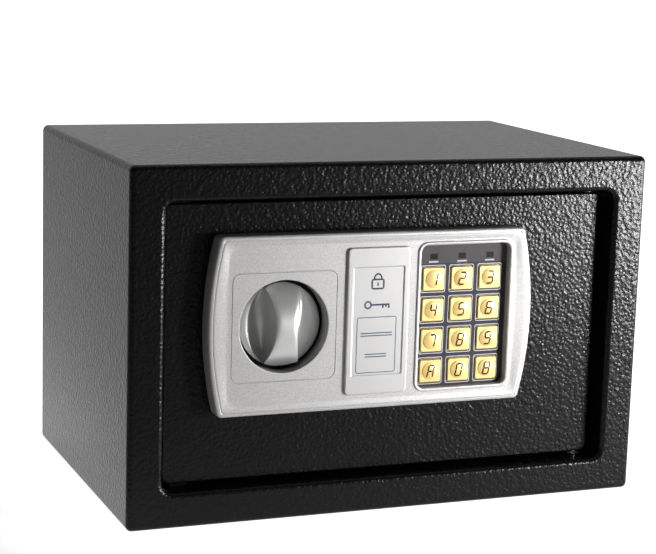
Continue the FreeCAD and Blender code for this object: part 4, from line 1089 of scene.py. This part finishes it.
def make_inner_bead():
    """A pressed bead stiffens the inner cover's face just inside its screws."""
    where = Place("inner_cover")
    width, height = where.w - 2 * BEAD_INSET, where.h - 2 * BEAD_INSET
    shape = Shape()
    rings = shape.loft([(rounded_rect(where.x, where.z, width - 2 * i * MM, height - 2 * i * MM,
                                      (BEAD_R - i) * MM), where.back + d * MM) for i, d in BEAD])
    shape.band(rings[-1], rings[0])
    piece("inner_cover_bead", shape, "door", "black_paint")


LID_RIBS = 4
LID_RIB_W = 18 * MM
LID_RIB_PITCH = 3 * MM
LID_MARGIN = 3 * MM
LID_T = 1.8 * MM
LID_RIB_H = 1.6
LID_RIB_R = 0.7

# The lid's edge, from the cover outwards, in mm: inset, corner radius and height above the cover.
LID_EDGE = ((0, 3, 0.02), (0, 3, 1.0), (0.2, 2.8, 1.5), (0.7, 2.4, 1.78), (1.2, 2.2, 1.8), (3.0, 2.0, 1.8),
            (3.3, 2.0, 1.4), (4.0, 2.0, 1.4))
# Its skirt: inset and height, and its corners. A rib: inset and height above the lid's face.
LID_SKIRT = ((4.75, 0.02), (4.75, -2.0), (6.25, -2.0), (6.25, 0.02))
LID_SKIRT_R = 0.5
LID_RIB = ((0, -0.4), (0, 0.5), (0.2, 0.95), (0.5, 1.2))


def make_battery_lid():
    """The lid: bevelled edge, a thumb pad with ribs near the top, and a skirt that plugs into the box."""
    where = Place("battery_lid")
    base = Place("battery_box").back
    face = base + LID_T
    shape = Shape()

    def outline(inset, r):
        return rounded_rect(where.x, where.z, where.w - 2 * inset * MM, where.h - 2 * inset * MM, r * MM)

    rings = shape.loft([(outline(i, r), base + d * MM) for i, r, d in LID_EDGE])
    shape.cap(rings[-1])
    skirt = shape.loft([(outline(i, LID_SKIRT_R), base + d * MM) for i, d in LID_SKIRT])
    shape.band(rings[0], skirt[0])
    shape.cap(skirt[-1])
    for index in range(LID_RIBS):
        z = where.high - LID_MARGIN - (index + 1) * LID_RIB_PITCH
        rib = shape.loft([(rounded_rect(where.x, z, LID_RIB_W - 2 * i * MM, (LID_RIB_H - 2 * i) * MM,
                                        (LID_RIB_R - i) * MM, steps=4), face + d * MM) for i, d in LID_RIB])
        shape.cap(rib[-1])
        shape.cap(rib[0])
    piece("battery_lid_ribbed", shape, "battery_lid", "black_plastic", ("battery_lid",))


RESET_POINTS = 40
RESET_LIP = 1.4 * MM
RESET_LIP_T = 1.4 * MM

# The button's rounded end with its dished middle, in mm: inset from the stem, depth below the end.
RESET_END = ((0, 0.7), (0.15, 0.3), (0.6, 0.05), (1.1, 0), (1.6, 0.1))
RESET_DISH = 0.35 * MM
RESET_DISH_PART = 0.2


def make_reset_button():
    """A small push button with a dished end and a lip that keeps it behind the cover."""
    where = Place("reset_button")
    radius = where.w / 2
    stem = radius - RESET_LIP
    lip_back = where.front + RESET_LIP_T
    shape = Shape()
    steps = [(radius, where.front), (radius, lip_back), (stem, lip_back)]
    steps += [(stem - i * MM, where.back - d * MM) for i, d in RESET_END]
    steps.append((stem * RESET_DISH_PART, where.back - RESET_DISH))
    rings = shape.loft([(circle(where.x, where.z, r, RESET_POINTS), depth) for r, depth in steps])
    shape.cap(rings[0])
    shape.cap(rings[-1])
    piece("reset_button_dome", shape, "reset_button", "red_plastic", ("reset_button",))


# ---------------------------------------------------------------- floor mat

MAT_HOLE_POINTS = 32
MAT_HOLE_R = 9 * MM
MAT_CORNER_R = 2 * MM
MAT_HOLES = ((-100 * MM, 0.0), (100 * MM, 0.0))


def make_floor_mat():
    """A sheet of felt on the floor of the safe, with a hole over each anchor hole."""
    low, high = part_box("floor_mat")
    width, depth = high.x - low.x, high.y - low.y
    outline = rounded_rect(0, (low.y + high.y) / 2, width, depth, MAT_CORNER_R, SMALL_CORNER_STEPS)
    shape = Shape()
    loops = []
    for ring in [outline] + [circle(x, y, MAT_HOLE_R, MAT_HOLE_POINTS) for x, y in MAT_HOLES]:
        start = len(shape.points)
        shape.points += [Vector((x, high.z, y)) for x, y in ring]
        loops.append(list(range(start, len(shape.points))))
    shape.fill(loops[0], loops[1:])
    top = len(shape.points)
    faces = list(shape.faces)
    shape.points += [Vector((p.x, low.z, p.z)) for p in shape.points]
    shape.faces += [tuple(i + top for i in reversed(face)) for face in faces]
    for loop in loops:
        shape.band(loop, [i + top for i in loop])
    shape.points = [Vector((p.x, p.z, p.y)) for p in shape.points]
    made = piece("felt_mat", shape, "body", "felt_grey", ("floor_mat",))


make_camera()
make_world()
make_lights()
make_floor()
MATERIALS = make_materials()
INKS = {
    "dark": ink_material("ink_dark", (0.05, 0.05, 0.055)),
    "blue": ink_material("ink_blue", (0.05, 0.065, 0.11)),
    "brown": ink_material("ink_brown", (0.035, 0.018, 0.008)),
    "pale": ink_material("ink_pale", (0.42, 0.42, 0.44)),
    "film": ink_material("ink_film", (0.038, 0.038, 0.047)),
}
paint_nodes(MATERIALS)
make_fascia()
make_cover()
make_knob()
for key_name in KEY_NAMES:
    make_key(key_name)
make_keypad_print()
make_cover_screws()
make_inner_bead()
make_battery_lid()
make_reset_button()
make_floor_mat()
